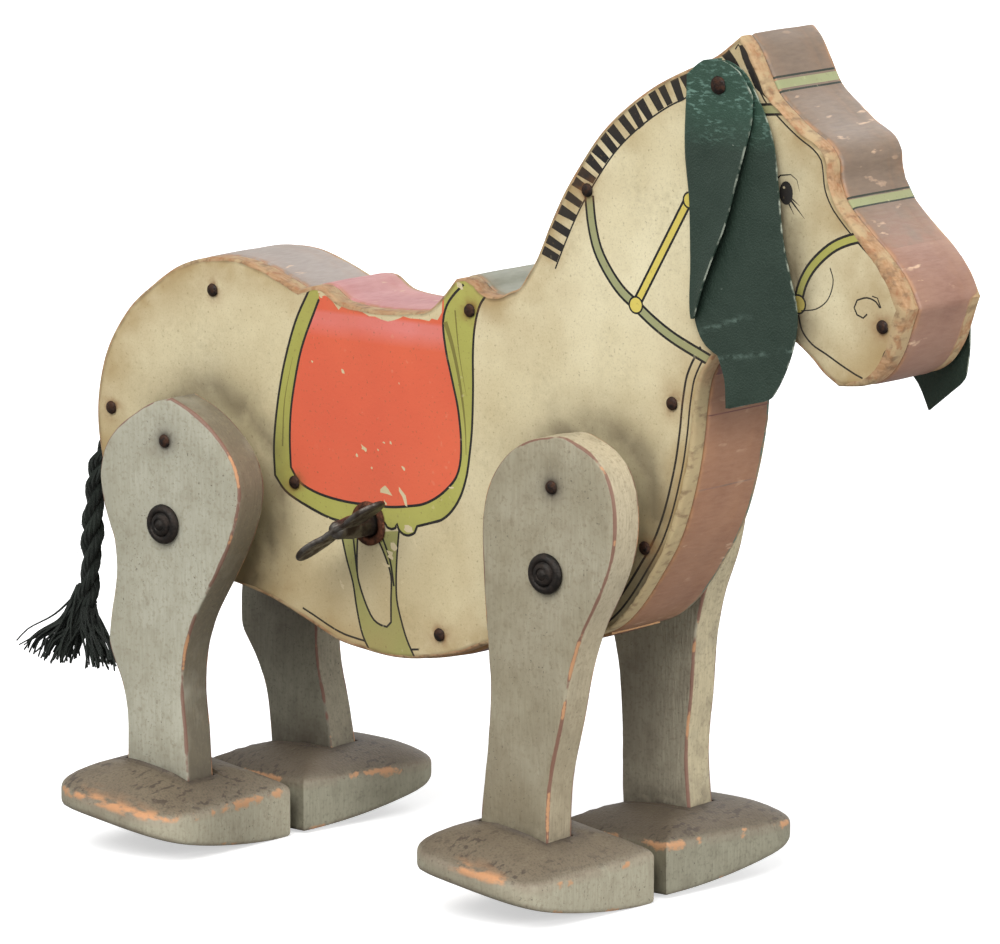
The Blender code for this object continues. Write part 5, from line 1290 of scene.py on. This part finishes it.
# Ears: oilcloth, cut to a long leaf and folded over along its rear edge, each on one nail so that it
# flaps. The coating has creased and flaked to its pale cloth at the edges.
EAR = [(-4.6, 4.9), (-8.9, 1.6), (-9.2, -15.6), (-8.1, -26.9), (-7.5, -40.7), (-7.4, -54.5), (-4.5, -59.9),
       (-0.8, -62.1), (1.2, -67.4), (1.6, -74.1)]
EAR_FLAP = [(9.4, 4), (9.4, -2.7), (9.4, -7.2), (7.7, -14.2), (5.5, -22.3), (2.7, -31.7), (-1.5, -41.2),
            (-5.4, -50.8), (-6.9, -54.6)]
EAR_TOP, EAR_TIP, EAR_FRONT_TIP, FLAP_TIP = 5.6, -74.1, -71.0, -54.6
EAR_ROWS = 120
FRONT_LAYER, FOLD, FLAP = 15.97, 16.35, 16.75
OILCLOTH_THICKNESS = 0.4
EAR_SWINGS = {RIGHT: 0, LEFT: 24}
EAR_NAIL_HEAD = 2.1


def at_height(line, z):
    """Where a line that runs down the ear stands at a height."""
    if z >= line[0][1]:
        return line[0][0]
    for a, b in zip(line, line[1:]):
        if b[1] <= z:
            return a[0] + (b[0] - a[0]) * (a[1] - z) / (a[1] - b[1])
    return line[-1][0]


# Oilcloth: cotton coated with a half-matt dark green film, which shows the weave. Cracks let the pale
# cloth through, most at the top, where the leaf bends over its nail, and along two creases.
oilcloth, tree, shader, place = finish("creased_dark_green_oilcloth", 0.55, ior=1.4)
weave = blotches(tree, place, 0.45, 0.3, 0.7)
crown, wear, creased = (node(tree, "ShaderNodeAttribute", output="Fac", attribute_name=layer)
                        for layer in ("crown", "wear", "creased"))
colour = layered(
    tree, tone("1D2E24"),
    (blotches(tree, place, 9, 0.35, 0.65), tone("27372D")),
    (weave, 0.3, tone("35443A")),
    (crown, 0.4, tone("3E6150")),
    (blotches(tree, place, 0.7, 0.54, 0.64, 0.75, stretch=(0.35, 1, 1)), crown,
     blotches(tree, place, 6, 0.35, 0.6), tone("76988A")),
    (blotches(tree, place, 0.9, 0.74, 0.77, 0.7), tone("A8B4A6")),
    (wear, blotches(tree, place, 2.4, 0.46, 0.6, 0.75), tone("A9B0A0")),
    (creased, blotches(tree, place, 2.2, 0.42, 0.6, 0.6), tone("7F978B")))
rumpled = blotches(tree, place, 7, 0.3, 0.7, 3.0, stretch=(1, 1, 0.5))
relief = node(tree, "ShaderNodeMath", {0: weave, 1: rumpled}, operation="ADD")
coat(tree, shader, colour, relief, 0.08)

rear_line = [(p.x, p.y) for p in curve([(0.5, 5.7)] + EAR, 2)]
front_line = [(p.x, p.y) for p in curve([(1.5, 5.7)] + EAR_FRONT, 2)]
flap_line = [(p.x, p.y) for p in curve(EAR_FLAP, 2)]
for side, name in ((RIGHT, "right_ear"), (LEFT, "left_ear")):
    pin = EAR_PINS[side]
    bm = bmesh.new()
    wear, crown, creased = (bm.verts.layers.float.new(layer) for layer in ("wear", "crown", "creased"))
    turning = Matrix.Rotation(math.radians(EAR_SWINGS[side]), 2)

    def put(x, z, out, worn=0.0):
        """A corner of the leaf: x ahead of its nail, z above it, out from the middle plane."""
        point = turning @ Vector((x, z))
        vert = bm.verts.new(((pin[0] + point.x) * MM, side * out * MM, (pin[1] + point.y) * MM))
        vert[wear] = worn
        vert[crown] = max(0, 1 - max(0, -z - 6) / 9)
        low_crease = math.exp(-abs(z + 62.8 - 0.2 * x) / 0.25)
        high_crease = math.exp(-abs(z + 54.9 - 0.345 * x) / 0.25) if x < 8 else 0
        vert[creased] = max(low_crease, high_crease)
        return vert

    rows = []
    for i in range(EAR_ROWS + 1):
        z = EAR_TOP - 79.6 * i / EAR_ROWS
        rear = at_height(rear_line, z)
        ahead = at_height(front_line, z)
        if z < EAR_FRONT_TIP:
            ahead = min(ahead, 1.6 + 12 * max(0, (z - EAR_TIP) / 3.1) + 0.2)
        flap = min(at_height(flap_line, z), ahead - 0.5)
        bow = 0.45 * math.sin(math.pi * i / EAR_ROWS)
        row = []
        for share in (0, 0.012, 0.1, 0.2, 0.3, 0.4, 0.5, 0.6, 0.7, 0.8, 0.9, 1):
            out = FRONT_LAYER + bow * (1 - share) + 0.15 * math.sin(z / 9 + share * 3)
            row.append(put(ahead + (rear - ahead) * share, z, out, 1.0 if share == 0 else 0))
        if flap > rear + 0.4 and z > FLAP_TIP:
            open_by = 1.1 * min(1, max(0, -z - 2) / 18) * min(1, (z + 58) / 12)
            row.append(put(rear - 0.3, z, FOLD))
            for share in (0, 0.15, 0.3, 0.45, 0.6, 0.75, 0.88, 0.975, 1):
                out = FLAP + open_by * share ** 2 + 0.2 * math.sin(z / 9)
                row.append(put(rear + (flap - rear) * share, z, out, 1.0 if share == 1 else 0))
        rows.append(row)
    for row, following in zip(rows, rows[1:]):
        for k in range(min(len(row), len(following)) - 1):
            bm.faces.new((row[k], row[k + 1], following[k + 1], following[k]))
    cut_area = sum(face.calc_area() for face in bm.faces)
    bmesh.ops.recalc_face_normals(bm, faces=bm.faces)
    bmesh.ops.solidify(bm, geom=bm.faces[:], thickness=OILCLOTH_THICKNESS * MM)
    leaf = piece(name + "_folded", bm, [oilcloth], "oilcloth", name)
    seat = OUTER + 2.8 + GAP
    nail(name + "_nail_rusted", pin, seat, seat - INNER + 6, side, name + "_nail", radius=EAR_NAIL_HEAD)
